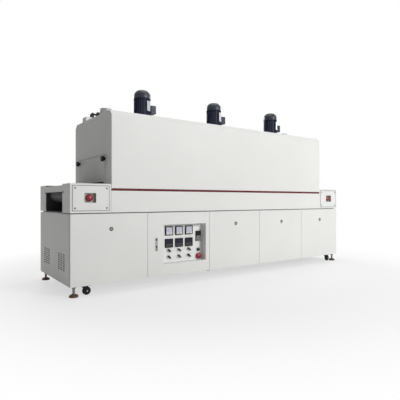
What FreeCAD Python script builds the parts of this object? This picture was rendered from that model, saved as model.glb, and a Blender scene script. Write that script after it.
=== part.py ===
import FreeCAD, Part
import math
import os
import re

import Sketcher

# A floor-standing tunnel reflow oven: a sheet-clad base on castors and levelling feet, a conveyor bed
# with a mesh belt, and a hinged hot-air hood with three blower motors.
# X runs along the belt, -Y is the operator's side, +Z is up. The cabinet is drawn about its own middle, and
# the finished pieces are moved so that the origin is on the floor under the middle of the whole machine.

Vector = FreeCAD.Vector
Rotation = FreeCAD.Rotation

# Driving sizes in millimetres, or counts: alias, value, meaning.
SIZES = (
    ("length", 3000, "base and conveyor, end to end"),
    ("depth", 820, "base, front panel face to back panel face"),
    ("floor_gap", 75, "floor to the underside of the base"),
    ("base_height", 515, "base cabinet"),
    ("bed_height", 210, "end blocks above the base"),
    ("seam_drop", 44, "end block top down to the hood seam"),
    ("block_length", 300, "end block, along the belt"),
    ("hood_height", 555, "upright hood wall"),
    ("hood_chamfer", 36, "bevel between hood wall and roof"),
    ("hood_gap", 3, "hood end to end block"),
    ("hood_flange", 40, "inward flange round the hood's lower edge"),
    ("sheet", 2, "sheet metal"),
    ("running_gap", 0.3, "clearance between pieces that slide or roll past each other"),
    ("shaft_fit", 0.05, "radial clearance of a shaft in its bore"),
    ("rail_size", 30, "square frame rail"),
    ("panel_depth", 20, "folded depth of a cladding panel"),
    ("panel_gap", 3, "joint between two panels"),
    ("shadow_gap", 8, "groove between the panels and the bed"),
    ("pad_size", 80, "castor pad"),
    ("pad_thick", 5, "castor pad"),
    ("lock_radius", 12, "barrel of a panel lock"),
    ("lock_head_radius", 17, "face of a panel lock"),
    ("lock_proud", 3, "face of a panel lock"),
    ("lock_length", 26, "barrel of a panel lock"),
    ("lock_drop", 112, "panel top down to its lock"),
    ("vent_width", 44, "one ventilation slot"),
    ("vent_height", 7, "one ventilation slot"),
    ("vent_column", 60, "pitch of the slot columns"),
    ("vent_row", 16, "pitch of the slot rows"),
    ("vent_rows", 8, "slot rows in a group"),
    ("vent_inset", 210, "panel face to the middle of a slot group"),
    ("vent_rise", 95, "panel bottom to the lowest slot row"),
    ("cheek_width", 185, "end block beside the belt"),
    ("cheek_wall", 3, "end block plate"),
    ("cover_margin", 16, "edge left round an end block cover"),
    ("cover_lap", 22, "overlap of the cover on its opening"),
    ("skirt_flange", 34, "inward flanges of the bed skirt"),
    ("seal_height", 10, "hood seal"),
    ("seal_width", 14, "hood seal"),
    ("trough_lap", 7, "heated trough wall behind the end block's inner face"),
    ("rod_radius", 6, "belt support rod"),
    ("rod_inset", 80, "hood end to the last belt support rod"),
    ("belt_clear", 15, "belt edge to the end block beside it"),
    ("belt_thick", 3, "mesh belt"),
    ("belt_drop", 8, "end block top down to the belt"),
    ("drum_radius", 60, "belt drum"),
    ("drum_overhang", 6, "drum face beyond each belt edge"),
    ("inlet_inset", 90, "inlet end to its drum axis"),
    ("outlet_inset", 82, "outlet end to its drum axis"),
    ("drum_shaft_radius", 15, "belt drum journal"),
    ("bearing_size", 80, "square flange of a drum bearing"),
    ("bearing_thick", 14, "flange of a drum bearing"),
    ("bearing_boss", 10, "boss of a drum bearing"),
    ("bearing_boss_radius", 27, "boss of a drum bearing"),
    ("entry_height", 48, "cross plate at the belt's inlet"),
    ("entry_drop", 10, "end block top down to the cross plate"),
    ("entry_lip", 14, "folded lower edge of the cross plate"),
    ("access_radius", 11, "hole to the belt tension screw"),
    ("access_drop", 60, "end block top to the tension hole"),
    ("access_inset", 18, "end block's inner face to the tension hole"),
    ("slit_width", 6, "adjusting slit in the inlet end block"),
    ("slit_height", 38, "adjusting slit in the inlet end block"),
    ("slit_rise", 22, "base top to the adjusting slit"),
    ("gearbox_size", 96, "belt drive gearbox"),
    ("gearbox_width", 66, "belt drive gearbox, along the drum shaft"),
    ("drive_motor_radius", 38, "belt drive motor"),
    ("drive_motor_length", 130, "belt drive motor"),
    ("heater_radius", 8, "tubular heater"),
    ("heater_drop", 58, "belt face down to the lower heaters"),
    ("heater_margin", 30, "chamber wall to the upper heaters' ends"),
    ("hinge_inset", 147, "hood end to the middle of an outer hinge"),
    ("hinge_width", 96, "butt hinge"),
    ("leaf_height", 30, "butt hinge leaf"),
    ("leaf_thick", 3, "butt hinge leaf"),
    ("knuckle_radius", 7, "butt hinge"),
    ("knuckle_length", 30, "outer knuckles of a butt hinge"),
    ("pin_radius", 3.5, "butt hinge pin"),
    ("foot_radius", 32, "levelling foot"),
    ("foot_rim", 12, "upright rim of a levelling foot"),
    ("foot_thick", 22, "levelling foot"),
    ("stem_radius", 9, "levelling foot stem"),
    ("stem_nut_radius", 15, "lock nut of a levelling foot"),
    ("stem_nut", 12, "lock nut of a levelling foot"),
    ("foot_inset", 36, "base corner to a levelling foot, both ways"),
    ("castor_inset", 118, "base end to a castor's kingpin"),
    ("castor_side_inset", 55, "panel face to a castor's kingpin"),
    ("wheel_radius", 30, "castor wheel"),
    ("wheel_width", 26, "castor wheel"),
    ("wheel_gap", 1, "castor wheel to fork leg"),
    ("castor_trail", 16, "kingpin to wheel axle"),
    ("fork_sheet", 3, "castor fork leg"),
    ("fork_disc_radius", 27, "castor fork crown"),
    ("fork_disc", 6, "castor fork crown"),
    ("kingpin_radius", 5, "castor kingpin"),
    ("axle_radius", 4, "castor axle"),
    ("end_plate", 3, "hood end plate"),
    ("chamber_step", 28, "heated chamber wall outside the trough wall"),
    ("chamber_height", 170, "hood lower edge to the nozzle plate"),
    ("mouth_margin", 10, "chamber wall to the tunnel mouth's edge"),
    ("mouth_drop", 12, "nozzle plate down to the tunnel mouth's top"),
    ("nozzle_margin", 10, "belt edge to the air slots' ends"),
    ("nozzle_width", 14, "air slot"),
    ("nozzle_inset", 159, "hood end to the first air slot"),
    ("nozzle_count", 24, "air slots"),
    ("motor_shift", 80, "blower motors towards the front"),
    ("roof_hole_radius", 30, "shaft opening under a blower motor"),
    ("flange_radius", 88, "blower motor flange"),
    ("flange_thick", 10, "blower motor flange"),
    ("core_radius", 62, "blower motor housing under its fins"),
    ("fin_radius", 71, "blower motor fins"),
    ("fin_thick", 4, "blower motor fins"),
    ("fin_count", 24, "blower motor fins"),
    ("housing_height", 186, "blower motor housing"),
    ("cowl_radius", 74, "blower motor fan cowl"),
    ("cowl_wall", 2.5, "blower motor fan cowl"),
    ("cowl_skirt", 34, "straight side of the fan cowl"),
    ("cowl_height", 74, "fan cowl"),
    ("cowl_crown_radius", 42, "flat crown of the fan cowl"),
    ("grille_slots", 12, "air slots in the fan cowl"),
    ("grille_width", 7, "air slots in the fan cowl"),
    ("grille_hub_radius", 14, "solid middle of the fan cowl"),
    ("terminal_length", 46, "terminal box, out from the motor"),
    ("terminal_width", 72, "terminal box"),
    ("terminal_height", 70, "terminal box"),
    ("terminal_rise", 80, "roof to the terminal box"),
    ("fan_shaft_radius", 9, "blower shaft"),
    ("shaft_engagement", 60, "blower shaft inside its motor"),
    ("impeller_radius", 130, "blower wheel"),
    ("impeller_eye_radius", 80, "inlet eye of the blower wheel"),
    ("impeller_disc", 3, "discs of the blower wheel"),
    ("impeller_height", 60, "blades of the blower wheel"),
    ("impeller_drop", 70, "roof down to the blower wheel"),
    ("impeller_hub_radius", 24, "hub of the blower wheel"),
    ("blade_count", 12, "blower blades"),
    ("blade_thick", 3, "blower blades"),
    ("spigot_radius", 50, "exhaust spigot, outside"),
    ("spigot_wall", 2, "exhaust spigot"),
    ("spigot_height", 90, "exhaust spigot"),
    ("spigot_flange_radius", 68, "exhaust spigot flange"),
    ("spigot_flange", 3, "exhaust spigot flange"),
    ("spigot_inset", 125, "hood end to an exhaust spigot"),
    ("trunk_width", 88, "cable trunking on the roof"),
    ("trunk_height", 68, "cable trunking on the roof"),
    ("trunk_inset", 54, "hood end to the trunking at the inlet"),
    ("trunk_far_inset", 30, "hood end to the trunking at the outlet"),
    ("gland_rise", 28, "roof to the conduits where they leave the trunking"),
    ("gland_radius", 17, "conduit gland"),
    ("gland_length", 16, "conduit gland"),
    ("conduit_radius", 14, "flexible conduit"),
    ("conduit_pitch", 30, "the two conduits, side by side"),
    ("conduit_bend", 44, "inner bends of the conduits"),
    ("conduit_run", 104, "inner conduit's run along the hood"),
    ("conduit_clear", 2, "hinges to the inner conduit"),
    ("conduit_inset", 215, "hood end to the inner conduit's exit"),
    ("conduit_rise", 62, "base top to the conduits' lower ends"),
    ("gate_lap", 55, "tunnel gate over the mouth's edge"),
    ("gate_lift", 22, "end block top to the gate's lower edge"),
    ("gate_height", 205, "tunnel gate"),
    ("gate_lip", 14, "folded lips of a tunnel gate"),
    ("stud_radius", 4, "gate stud"),
    ("stud_length", 30, "gate stud"),
    ("stud_inset", 20, "gate edge to its stud"),
    ("stud_drop", 32, "gate top to its stud"),
    ("slot_end", 24, "gate lower edge to its slots"),
    ("knob_radius", 21, "gate knob"),
    ("knob_height", 26, "gate knob"),
    ("knob_waist_radius", 12, "gate knob, next to the gate"),
    ("knob_waist", 8, "gate knob, next to the gate"),
    ("scallop_radius", 8, "finger scallops of a gate knob"),
    ("scallops", 6, "finger scallops of a gate knob"),
    ("stop_inset", 143, "base end to an emergency stop"),
    ("stop_height", 107, "base top to an emergency stop"),
    ("stop_box_width", 86, "recess round an emergency stop"),
    ("stop_box_height", 68, "recess round an emergency stop"),
    ("stop_recess", 27, "cover face to the plate under an emergency stop"),
    ("mushroom_radius", 25, "emergency stop button"),
    ("mushroom_height", 17, "emergency stop button"),
    ("mushroom_dome", 10, "rounded crown of an emergency stop button"),
    ("button_neck_radius", 11, "emergency stop button stem"),
    ("button_travel", 6, "emergency stop button"),
    ("button_stem", 14, "emergency stop button stem inside its housing"),
    ("window_margin", 39, "recess to the door joint at its hinges"),
    ("window_height", 314, "recess in the control door"),
    ("window_inset", 144, "door joint to the recess"),
    ("window_rise", 94, "door bottom to the recess"),
    ("recess_depth", 60, "door face to the instrument plate"),
    ("instrument_size", 72, "square meter or controller"),
    ("instrument_bezel", 9, "meter or controller front"),
    ("instrument_lap", 4, "front over its cut-out"),
    ("instrument_case", 55, "meter or controller behind the plate"),
    ("instrument_inset", 82, "recess edge to the first meter column"),
    ("meter_rise", 259, "recess bottom to the meters"),
    ("controller_rise", 158, "recess bottom to the temperature controllers"),
    ("switch_rise", 97, "recess bottom to the upper switches"),
    ("switch_row", 53, "pitch of the switch rows"),
    ("switch_radius", 15, "rotary switch base"),
    ("switch_base", 5, "rotary switch base"),
    ("switch_handle", 38, "rotary switch handle"),
    ("switch_handle_width", 10, "rotary switch handle"),
    ("switch_handle_height", 15, "rotary switch handle"),
    ("spindle_radius", 5, "switch spindle"),
    ("spindle_length", 20, "switch spindle"),
    ("speed_inset", 41, "recess edge to the speed controls"),
    ("speed_width", 50, "belt speed controller"),
    ("speed_height", 88, "belt speed controller"),
    ("speed_rise", 203, "recess bottom to the speed controller"),
    ("dial_rise", 86, "recess bottom to the speed dial"),
    ("dial_radius", 13, "speed dial"),
    ("dial_height", 16, "speed dial"),
    ("main_stop_rise", 32, "recess bottom to the main stop button"),
    ("pivot_inset", 4, "door corner to its pivot pins"),
    ("pivot_radius", 2.5, "door pivot pins"),
    ("pivot_plate", 4, "door pivot brackets"),
    ("pivot_plate_width", 24, "door pivot brackets"),
    ("latch_inset", 64, "door joint to its latch"),
    ("latch_rise", 202, "door bottom to the latch"),
    ("latch_height", 104, "door latch"),
    ("latch_width", 24, "door latch"),
    ("latch_frame", 4, "frame round the latch handle"),
    ("latch_depth", 12, "latch handle"),
    ("latch_clear", 1.5, "room over the latch handle's swinging top edge"),
    ("latch_pivot", 3, "latch handle's top edge and face to its pins"),
    ("latch_pin_radius", 1.5, "latch handle pins"),
    ("door_clear", 1, "control door to the frame behind it"),
    ("device_plate_rise", 330, "height of the switchgear plate"),
    ("device_depth", 70, "switchgear"),
    ("lamp_radius", 28, "signal lamp"),
    ("lamp_stem_radius", 9, "signal lamp stem"),
    ("lamp_stem", 46, "signal lamp pivot to its base"),
    ("lamp_base", 30, "signal lamp base"),
    ("lamp_lens", 44, "one lens of the signal lamp"),
    ("lamp_ring", 14, "ring between two lenses"),
    ("lamp_cap", 40, "signal lamp cap"),
    ("lamp_dome", 16, "rounded end of the signal lamp cap"),
    ("lamp_inset", 125, "hood end to the signal lamp's pivot"),
    ("lamp_rise", 38, "trunking to the signal lamp's pivot"),
    ("lamp_barrel_radius", 12, "signal lamp pivot"),
    ("lamp_ear", 6, "signal lamp bracket"),
    ("lamp_pin_radius", 4, "signal lamp pivot"),
)

# Sizes that follow from the driving ones.
DERIVED = (
    ("half_len", "length / 2"),
    ("half_dep", "depth / 2"),
    ("bay", "length / 5"),
    ("base_top", "floor_gap + base_height"),
    ("block_top", "base_top + bed_height"),
    ("seam", "block_top - seam_drop"),
    ("skirt_top", "seam - seal_height / 2"),
    ("hood_bottom", "seam + seal_height / 2"),
    ("face_top", "hood_bottom + hood_height"),
    ("roof", "face_top + hood_chamfer"),
    ("hood_half", "half_len - block_length"),
    ("hood_length", "2 * hood_half"),
    ("hood_end", "hood_half - hood_gap"),
    ("shell_half", "hood_end - end_plate"),
    ("bevel_offset", "sheet * (sqrt(2) - 1)"),
    ("frame_x", "half_len - panel_depth"),
    ("frame_y", "half_dep - panel_depth"),
    ("panel_height", "base_height - shadow_gap"),
    ("panel_width", "bay - panel_gap"),
    ("cheek_inner", "half_dep - cheek_width"),
    ("vent_offset", "half_dep - vent_inset"),
    ("belt_width", "2 * (cheek_inner - belt_clear)"),
    ("trough_half", "cheek_inner + trough_lap"),
    ("chamber_half", "trough_half + chamber_step"),
    ("mouth_half", "chamber_half - mouth_margin"),
    ("gate_half", "mouth_half + gate_lap"),
    ("rod_pitch", "(hood_half - rod_inset) / 4"),
    ("lower_heater_pitch", "hood_half / 5"),
    ("upper_heater_pitch", "0.3 * hood_half"),
    ("upper_heater_length", "2 * (chamber_half - heater_margin)"),
    ("nozzle_length", "belt_width - 2 * nozzle_margin"),
    ("nozzle_pitch", "2 * (shell_half - nozzle_inset) / (nozzle_count - 1)"),
    ("motor_pitch", "0.65 * hood_half"),
    ("hinge_pitch", "hood_half - hinge_inset"),
    ("belt_top", "block_top - belt_drop"),
    ("wrap_radius", "drum_radius + running_gap"),
    ("drum_axis", "belt_top - belt_thick - wrap_radius"),
    ("inlet_axis", "-half_len + inlet_inset"),
    ("outlet_axis", "half_len - outlet_inset"),
    ("bearing_end", "cheek_inner + cheek_wall + bearing_thick + bearing_boss"),
    ("hinge_axis", "half_dep + knuckle_radius"),
    ("castor_x", "half_len - castor_inset"),
    ("castor_y", "half_dep - castor_side_inset"),
    ("chamber_top", "hood_bottom + chamber_height"),
    ("mouth_top", "chamber_top - mouth_drop"),
    ("gate_bottom", "block_top + gate_lift"),
    ("gate_face", "hood_end + running_gap"),
    ("stud_y", "gate_half - stud_inset"),
    ("stud_z", "gate_bottom + gate_height - stud_drop"),
    ("trunk_back", "half_dep - hood_chamfer - sheet"),
    ("trunk_top", "roof + trunk_height"),
    ("conduit_y", "half_dep + 2 * knuckle_radius + conduit_clear + conduit_radius"),
    ("conduit_exit", "-hood_half + conduit_inset"),
    ("conduit_top", "roof + gland_rise"),
    ("conduit_foot", "base_top + conduit_rise"),
    ("front_reach", "half_dep + lock_proud"),
    ("back_reach", "conduit_y + conduit_pitch + gland_radius"),
    ("mid_depth", "(back_reach - front_reach) / 2"),
    ("stop_z", "base_top + stop_height"),
    ("door_bottom", "floor_gap + running_gap"),
    ("door_height", "panel_height - 2 * running_gap"),
    ("door_left", "-half_len + bay + panel_gap / 2"),
    ("door_right", "-half_len + 2 * bay - panel_gap / 2"),
    ("window_width", "bay - window_inset - window_margin"),
    ("speed_column", "window_width - speed_inset"),
    ("instrument_column", "(speed_column - instrument_inset) / 3"),
    ("window_left", "-half_len + bay + window_inset"),
    ("speed_x", "window_left + speed_column"),
    ("window_bottom", "floor_gap + window_rise"),
    ("plate_face", "half_dep - recess_depth"),
    ("lamp_x", "-hood_half + lamp_inset"),
    ("lamp_y", "trunk_back - trunk_width / 2"),
    ("lamp_z", "trunk_top + lamp_rise"),
)

BAYS = 5
CONTROL_BAY = 1
VENT_COLUMNS = (-1, 0, 1)
HINGES = (-1, 0, 1)
MOTORS = (-1, 0, 1)
LOWER_HEATERS = range(-4, 5)
UPPER_HEATERS = (-2.5, -1.5, -0.5, 0.5, 1.5, 2.5)
SUPPORT_RODS = range(-4, 5)
SIDES = (-1, 1)
CORNERS = tuple((along, across) for along in SIDES for across in SIDES)
CORNER_NAMES = {(-1, -1): "inlet_front", (-1, 1): "inlet_back",
                (1, -1): "outlet_front", (1, 1): "outlet_back"}
END_NAMES = {-1: "inlet", 1: "outlet"}
SIDE_NAMES = {-1: "front", 1: "back"}

UPRIGHT = Rotation()
ALONG_X = Rotation(Vector(0, 1, 0), 90)
AGAINST_X = Rotation(Vector(0, 1, 0), -90)
ALONG_Y = Rotation(Vector(1, 0, 0), -90)
TOWARDS_FRONT = Rotation(Vector(1, 0, 0), 90)
HALF_TURN = Rotation(Vector(0, 0, 1), 180)

doc = FreeCAD.newDocument("reflow_oven")
sheet_table = doc.addObject("Spreadsheet::Sheet", "sizes")
FUNCTIONS = {"sqrt", "min", "max"}
WORD = re.compile(r"[a-z][a-z_]*")


def fill_sheet():
    row = 1
    for alias, value, meaning in SIZES:
        sheet_table.set(f"A{row}", meaning)
        sheet_table.set(f"B{row}", str(value))
        sheet_table.setAlias(f"B{row}", alias)
        row += 1
    for alias, formula in DERIVED:
        sheet_table.set(f"B{row}", "=" + formula)
        sheet_table.setAlias(f"B{row}", alias)
        row += 1
    doc.recompute()


def bound(formula):
    """The formula with each size name pointed at its cell."""
    return WORD.sub(lambda hit: hit.group() if hit.group() in FUNCTIONS else "sizes." + hit.group(), formula)


def value(formula):
    return float(sheet_table.evalExpression(formula))


def bind(thing, prop, formula):
    thing.setExpression(prop, bound(formula))


def place(thing, corner, turn=UPRIGHT):
    thing.Placement = FreeCAD.Placement(Vector(), turn)
    for axis, formula in zip("xyz", corner):
        bind(thing, f"Placement.Base.{axis}", formula)
    return thing


def box(name, size, corner):
    block = doc.addObject("Part::Box", name)
    for prop, formula in zip(("Length", "Width", "Height"), size):
        bind(block, prop, formula)
    return place(block, corner)


def cylinder(name, radius, height, start, turn=UPRIGHT):
    rod = doc.addObject("Part::Cylinder", name)
    bind(rod, "Radius", radius)
    bind(rod, "Height", height)
    return place(rod, start, turn)


def fuse(name, pieces):
    union = doc.addObject("Part::MultiFuse", name)
    union.Shapes = pieces
    union.Refine = True
    return union


def cut(name, base, tools):
    result = doc.addObject("Part::Cut", name)
    result.Base = base
    result.Tool = tools[0] if len(tools) == 1 else fuse(name + "_tools", tools)
    return result


def group(name, pieces):
    """Several solids that share one node."""
    compound = doc.addObject("Part::Compound", name)
    compound.Links = pieces
    return compound


def origin_feature(body, role):
    return next(feature for feature in body.Origin.OriginFeatures if feature.Role == role)


def new_body(name):
    return doc.addObject("PartDesign::Body", name)


def sketch_on(body, role, offset="0"):
    drawing = body.newObject("Sketcher::SketchObject", body.Name + "_sketch")
    drawing.AttachmentSupport = [(origin_feature(body, role), "")]
    drawing.MapMode = "FlatFace"
    bind(drawing, "AttachmentOffset.Base.z", offset)
    return drawing


def fix_point(drawing, geometry, point, formulas):
    for kind, formula in zip(("DistanceX", "DistanceY"), formulas):
        index = drawing.addConstraint(Sketcher.Constraint(kind, geometry, point, value(formula)))
        bind(drawing, f"Constraints[{index}]", formula)


def arc_between(start, end, radius, left):
    """The short arc from start to end, its centre to the left or right of the way."""
    chord = end - start
    normal = Vector(-chord.y, chord.x, 0).normalize()
    reach = math.sqrt(max(radius ** 2 - (chord.Length / 2) ** 2, 0))
    centre = (start + end) / 2 + normal * (reach if left else -reach)
    first, last = (start, end) if left else (end, start)
    angles = [math.atan2((p - centre).y, (p - centre).x) for p in (first, last)]
    return Part.ArcOfCircle(Part.Circle(centre, Vector(0, 0, 1), radius), *angles)


def outline(drawing, points):
    """A closed outline of points (x, y), or (x, y, radius, side) where an arc runs to the next point."""
    places = [Vector(value(point[0]), value(point[1]), 0) for point in points]
    ends = []
    for index, point in enumerate(points):
        start, end = places[index], places[(index + 1) % len(points)]
        if len(point) == 2:
            edge = drawing.addGeometry(Part.LineSegment(start, end))
            ends.append((edge, 1, 2))
            continue
        left = point[3] == "left"
        edge = drawing.addGeometry(arc_between(start, end, value(point[2]), left))
        ends.append((edge, 1, 2) if left else (edge, 2, 1))
    for index, (edge, first, last) in enumerate(ends):
        following, following_first, _ = ends[(index + 1) % len(ends)]
        drawing.addConstraint(Sketcher.Constraint("Coincident", edge, last, following, following_first))
    for point, (edge, first, _) in zip(points, ends):
        fix_point(drawing, edge, first, point[:2])
        if len(point) > 2:
            index = drawing.addConstraint(Sketcher.Constraint("Radius", edge, value(point[2])))
            bind(drawing, f"Constraints[{index}]", point[2])


def cap_radius(rim, rise):
    """The radius of a spherical cap from its rim radius and its rise."""
    return f"({rim} ^ 2 + {rise} ^ 2) / (2 * {rise})"


def rectangle(drawing, left, bottom, right, top):
    outline(drawing, ((left, bottom), (right, bottom), (right, top), (left, top)))


def circle(drawing, x, y, radius):
    edge = drawing.addGeometry(Part.Circle(Vector(value(x), value(y), 0), Vector(0, 0, 1), value(radius)))
    fix_point(drawing, edge, 3, (x, y))
    index = drawing.addConstraint(Sketcher.Constraint("Radius", edge, value(radius)))
    bind(drawing, f"Constraints[{index}]", radius)


def extrude(body, kind, drawing, length, reverse=False, both_ways=False):
    feature = body.newObject("PartDesign::" + kind, f"{body.Name}_{kind.lower()}")
    feature.Profile = drawing
    bind(feature, "Length", length)
    feature.Reversed = reverse
    feature.SideType = "Symmetric" if both_ways else "One side"
    return feature


def pad(body, drawing, length, **how):
    return extrude(body, "Pad", drawing, length, **how)


def pocket(body, drawing, length, **how):
    return extrude(body, "Pocket", drawing, length, **how)


def revolve(name, points):
    """A turned piece about its own Z axis, from its half section in the XZ plane."""
    body = new_body(name)
    drawing = sketch_on(body, "XZ_Plane")
    outline(drawing, points)
    turned = body.newObject("PartDesign::Revolution", name + "_turned")
    turned.Profile = drawing
    turned.ReferenceAxis = (drawing, ["V_Axis"])
    turned.Angle = 360
    return body


def repeat_round(body, feature, count):
    pattern = body.newObject("PartDesign::PolarPattern", feature.Name + "_round")
    pattern.Originals = [feature]
    pattern.Axis = (origin_feature(body, "Z_Axis"), [""])
    pattern.Angle = 360
    bind(pattern, "Occurrences", count)
    body.Tip = pattern
    return pattern


def repeat_along(body, feature, role, pitch, count):
    pattern = body.newObject("PartDesign::LinearPattern", feature.Name + "_row")
    pattern.Originals = [feature]
    pattern.Direction = (origin_feature(body, role), [""])
    bind(pattern, "Length", f"({count} - 1) * {pitch}")
    bind(pattern, "Occurrences", count)
    body.Tip = pattern
    return pattern


# Base cabinet


def post_stations():
    inner = [f"-half_len + {index} * bay - rail_size / 2" for index in range(1, BAYS)]
    return ["-frame_x", *inner, "frame_x - rail_size"]


def pivot_bracket(name, bottom, reach):
    """A tab on the frame that carries one pivot pin of the control door."""
    tab = box(name + "_tab", ("pivot_plate_width", reach, "pivot_plate"),
              ("door_right - pivot_plate_width", "-half_dep", bottom))
    bore = cylinder(name + "_bore", "pivot_radius + shaft_fit", "pivot_plate",
                    ("door_right - pivot_inset", "-half_dep + pivot_inset", bottom))
    return cut(name, tab, [bore])


def castor_pad(name, along, across):
    plate = box(name + "_plate", ("pad_size", "pad_size", "pad_thick"),
                (f"{along} * castor_x - pad_size / 2", f"{across} * castor_y - pad_size / 2",
                 "floor_gap - pad_thick"))
    bore = cylinder(name + "_bore", "kingpin_radius + shaft_fit", "pad_thick",
                    (f"{along} * castor_x", f"{across} * castor_y", "floor_gap - pad_thick"))
    return cut(name, plate, [bore])


def base_frame():
    square = ("rail_size", "rail_size")
    levels = {"lower": "floor_gap", "upper": "base_top - rail_size"}
    pieces = []
    for across in SIDES:
        y = "-frame_y" if across < 0 else "frame_y - rail_size"
        for level, z in levels.items():
            pieces.append(box(f"rail_{level}_{SIDE_NAMES[across]}", ("2 * frame_x", *square),
                              ("-frame_x", y, z)))
        for index, x in enumerate(post_stations()):
            pieces.append(box(f"post_{SIDE_NAMES[across]}_{index}", (*square, "base_height - 2 * rail_size"),
                              (x, y, "floor_gap + rail_size")))
    for index, x in enumerate(post_stations()):
        for level, z in levels.items():
            span = ("rail_size", "2 * (frame_y - rail_size)", "rail_size")
            pieces.append(box(f"cross_{level}_{index}", span, (x, "-frame_y + rail_size", z)))
    for corner in CORNERS:
        pieces.append(castor_pad("castor_pad_" + CORNER_NAMES[corner], *corner))
    pieces.append(pivot_bracket("door_bracket_lower", "floor_gap - pivot_plate", "panel_depth + rail_size"))
    pieces.append(pivot_bracket("door_bracket_upper", "floor_gap + panel_height", "panel_depth"))
    return group("base_frame", pieces)


def tray(name, width, height, depth="panel_depth"):
    """A folded cladding panel, outer face at its own y = 0, lower edge at z = 0."""
    body = new_body(name)
    face = sketch_on(body, "XZ_Plane")
    rectangle(face, f"-({width}) / 2", "0", f"({width}) / 2", height)
    pad(body, face, depth, reverse=True)
    hollow = sketch_on(body, "XZ_Plane", f"-({depth})")
    rectangle(hollow, f"-({width}) / 2 + sheet", "sheet", f"({width}) / 2 - sheet", f"{height} - sheet")
    pocket(body, hollow, f"{depth} - sheet", reverse=True)
    return body


def panel_lock(name):
    return revolve(name, (("0", "-lock_length"), ("lock_radius", "-lock_length"), ("lock_radius", "0"),
                          ("lock_head_radius", "0"), ("lock_head_radius", "lock_proud / 2"),
                          ("lock_head_radius - lock_proud / 2", "lock_proud"), ("0", "lock_proud")))


def service_panel(across, index):
    """One lift-off panel and the key lock through it."""
    name = f"panel_{SIDE_NAMES[across]}_{index}"
    panel = tray(name, "panel_width", "panel_height")
    hole = sketch_on(panel, "XZ_Plane")
    circle(hole, "0", "panel_height - lock_drop", "lock_radius")
    pocket(panel, hole, "2 * sheet")
    middle = f"-half_len + {index + 0.5} * bay"
    face = f"{across} * half_dep"
    place(panel, (middle, face, "floor_gap"), UPRIGHT if across < 0 else HALF_TURN)
    lock = panel_lock(name + "_lock")
    place(lock, (middle, face, "floor_gap + panel_height - lock_drop"),
          TOWARDS_FRONT if across < 0 else ALONG_Y)
    return [panel, lock]


def base_end_panel(along):
    body = tray(f"end_panel_{END_NAMES[along]}", "2 * (frame_y - panel_gap)", "panel_height")
    row = sketch_on(body, "XZ_Plane")
    for across in SIDES:
        for column in VENT_COLUMNS:
            middle = f"{across} * vent_offset + {column} * vent_column"
            rectangle(row, f"{middle} - vent_width / 2", "vent_rise", f"{middle} + vent_width / 2",
                      "vent_rise + vent_height")
    slots = pocket(body, row, "2 * sheet")
    repeat_along(body, slots, "Z_Axis", "vent_row", "vent_rows")
    return place(body, (f"{along} * half_len", "0", "floor_gap"), Rotation(Vector(0, 0, 1), 90 * along))


def base_panels():
    """All the lift-off cladding of the base: side panels with their locks, and the vented end panels."""
    pieces = [base_end_panel(along) for along in SIDES]
    for across in SIDES:
        for index in range(BAYS):
            if across > 0 or index != CONTROL_BAY:
                pieces.extend(service_panel(across, index))
    return group("base_panels", pieces)


def levelling_foot(corner):
    foot = revolve("foot_" + CORNER_NAMES[corner], (
        ("0", "0"), ("foot_radius", "0"), ("foot_radius", "foot_rim"), ("stem_nut_radius", "foot_thick"),
        ("stem_radius", "foot_thick"), ("stem_radius", "floor_gap - stem_nut"),
        ("stem_nut_radius", "floor_gap - stem_nut"), ("stem_nut_radius", "floor_gap"), ("0", "floor_gap")))
    along, across = corner
    return place(foot, (f"{along} * (half_len - foot_inset)", f"{across} * (half_dep - foot_inset)", "0"))


def castor_fork(corner):
    """A swivelling castor fork with its crown, kingpin and axle, trailing along +X."""
    body = new_body("castor_fork_" + CORNER_NAMES[corner])
    crown = "floor_gap - pad_thick - running_gap"
    shoulder = f"{crown} - fork_disc"
    legs = sketch_on(body, "XZ_Plane")
    outline(legs, (("-fork_disc_radius * 0.7", shoulder), ("castor_trail - 2 * axle_radius", "wheel_radius"),
                   ("castor_trail", "wheel_radius - 2 * axle_radius"),
                   ("castor_trail + 2 * axle_radius", "wheel_radius"), ("fork_disc_radius * 0.7", shoulder)))
    pad(body, legs, "wheel_width + 2 * (wheel_gap + fork_sheet)", both_ways=True)
    gap = sketch_on(body, "XZ_Plane")
    rectangle(gap, "-2 * wheel_radius", "0", "castor_trail + 2 * wheel_radius", shoulder)
    pocket(body, gap, "wheel_width + 2 * wheel_gap", both_ways=True)
    disc = sketch_on(body, "XY_Plane", shoulder)
    circle(disc, "0", "0", "fork_disc_radius")
    pad(body, disc, "fork_disc")
    kingpin = sketch_on(body, "XY_Plane", crown)
    circle(kingpin, "0", "0", "kingpin_radius")
    pad(body, kingpin, "pad_thick + running_gap")
    axle = sketch_on(body, "XZ_Plane")
    circle(axle, "castor_trail", "wheel_radius", "axle_radius")
    pad(body, axle, "wheel_width + 2 * (wheel_gap + fork_sheet)", both_ways=True)
    along, across = corner
    return place(body, (f"{along} * castor_x", f"{across} * castor_y", "0"))


def castor_wheel(corner):
    half, tread = "wheel_width / 2", "wheel_width / 4"
    bore, hub, shoulder = "axle_radius + shaft_fit", "wheel_radius / 2", f"wheel_radius - {tread}"
    wheel = revolve("castor_wheel_" + CORNER_NAMES[corner], (
        (bore, f"-{half}"), (hub, f"-{half}"), (hub, f"-{half} + wheel_gap"),
        (shoulder, f"-{half} + wheel_gap"),
        ("wheel_radius", f"-{tread}"), ("wheel_radius", tread),
        (shoulder, f"{half} - wheel_gap"), (hub, f"{half} - wheel_gap"), (hub, half), (bore, half)))
    along, across = corner
    axle = (f"{along} * castor_x + castor_trail", f"{across} * castor_y", "wheel_radius")
    return place(wheel, axle, ALONG_Y)


# Conveyor bed


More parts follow.
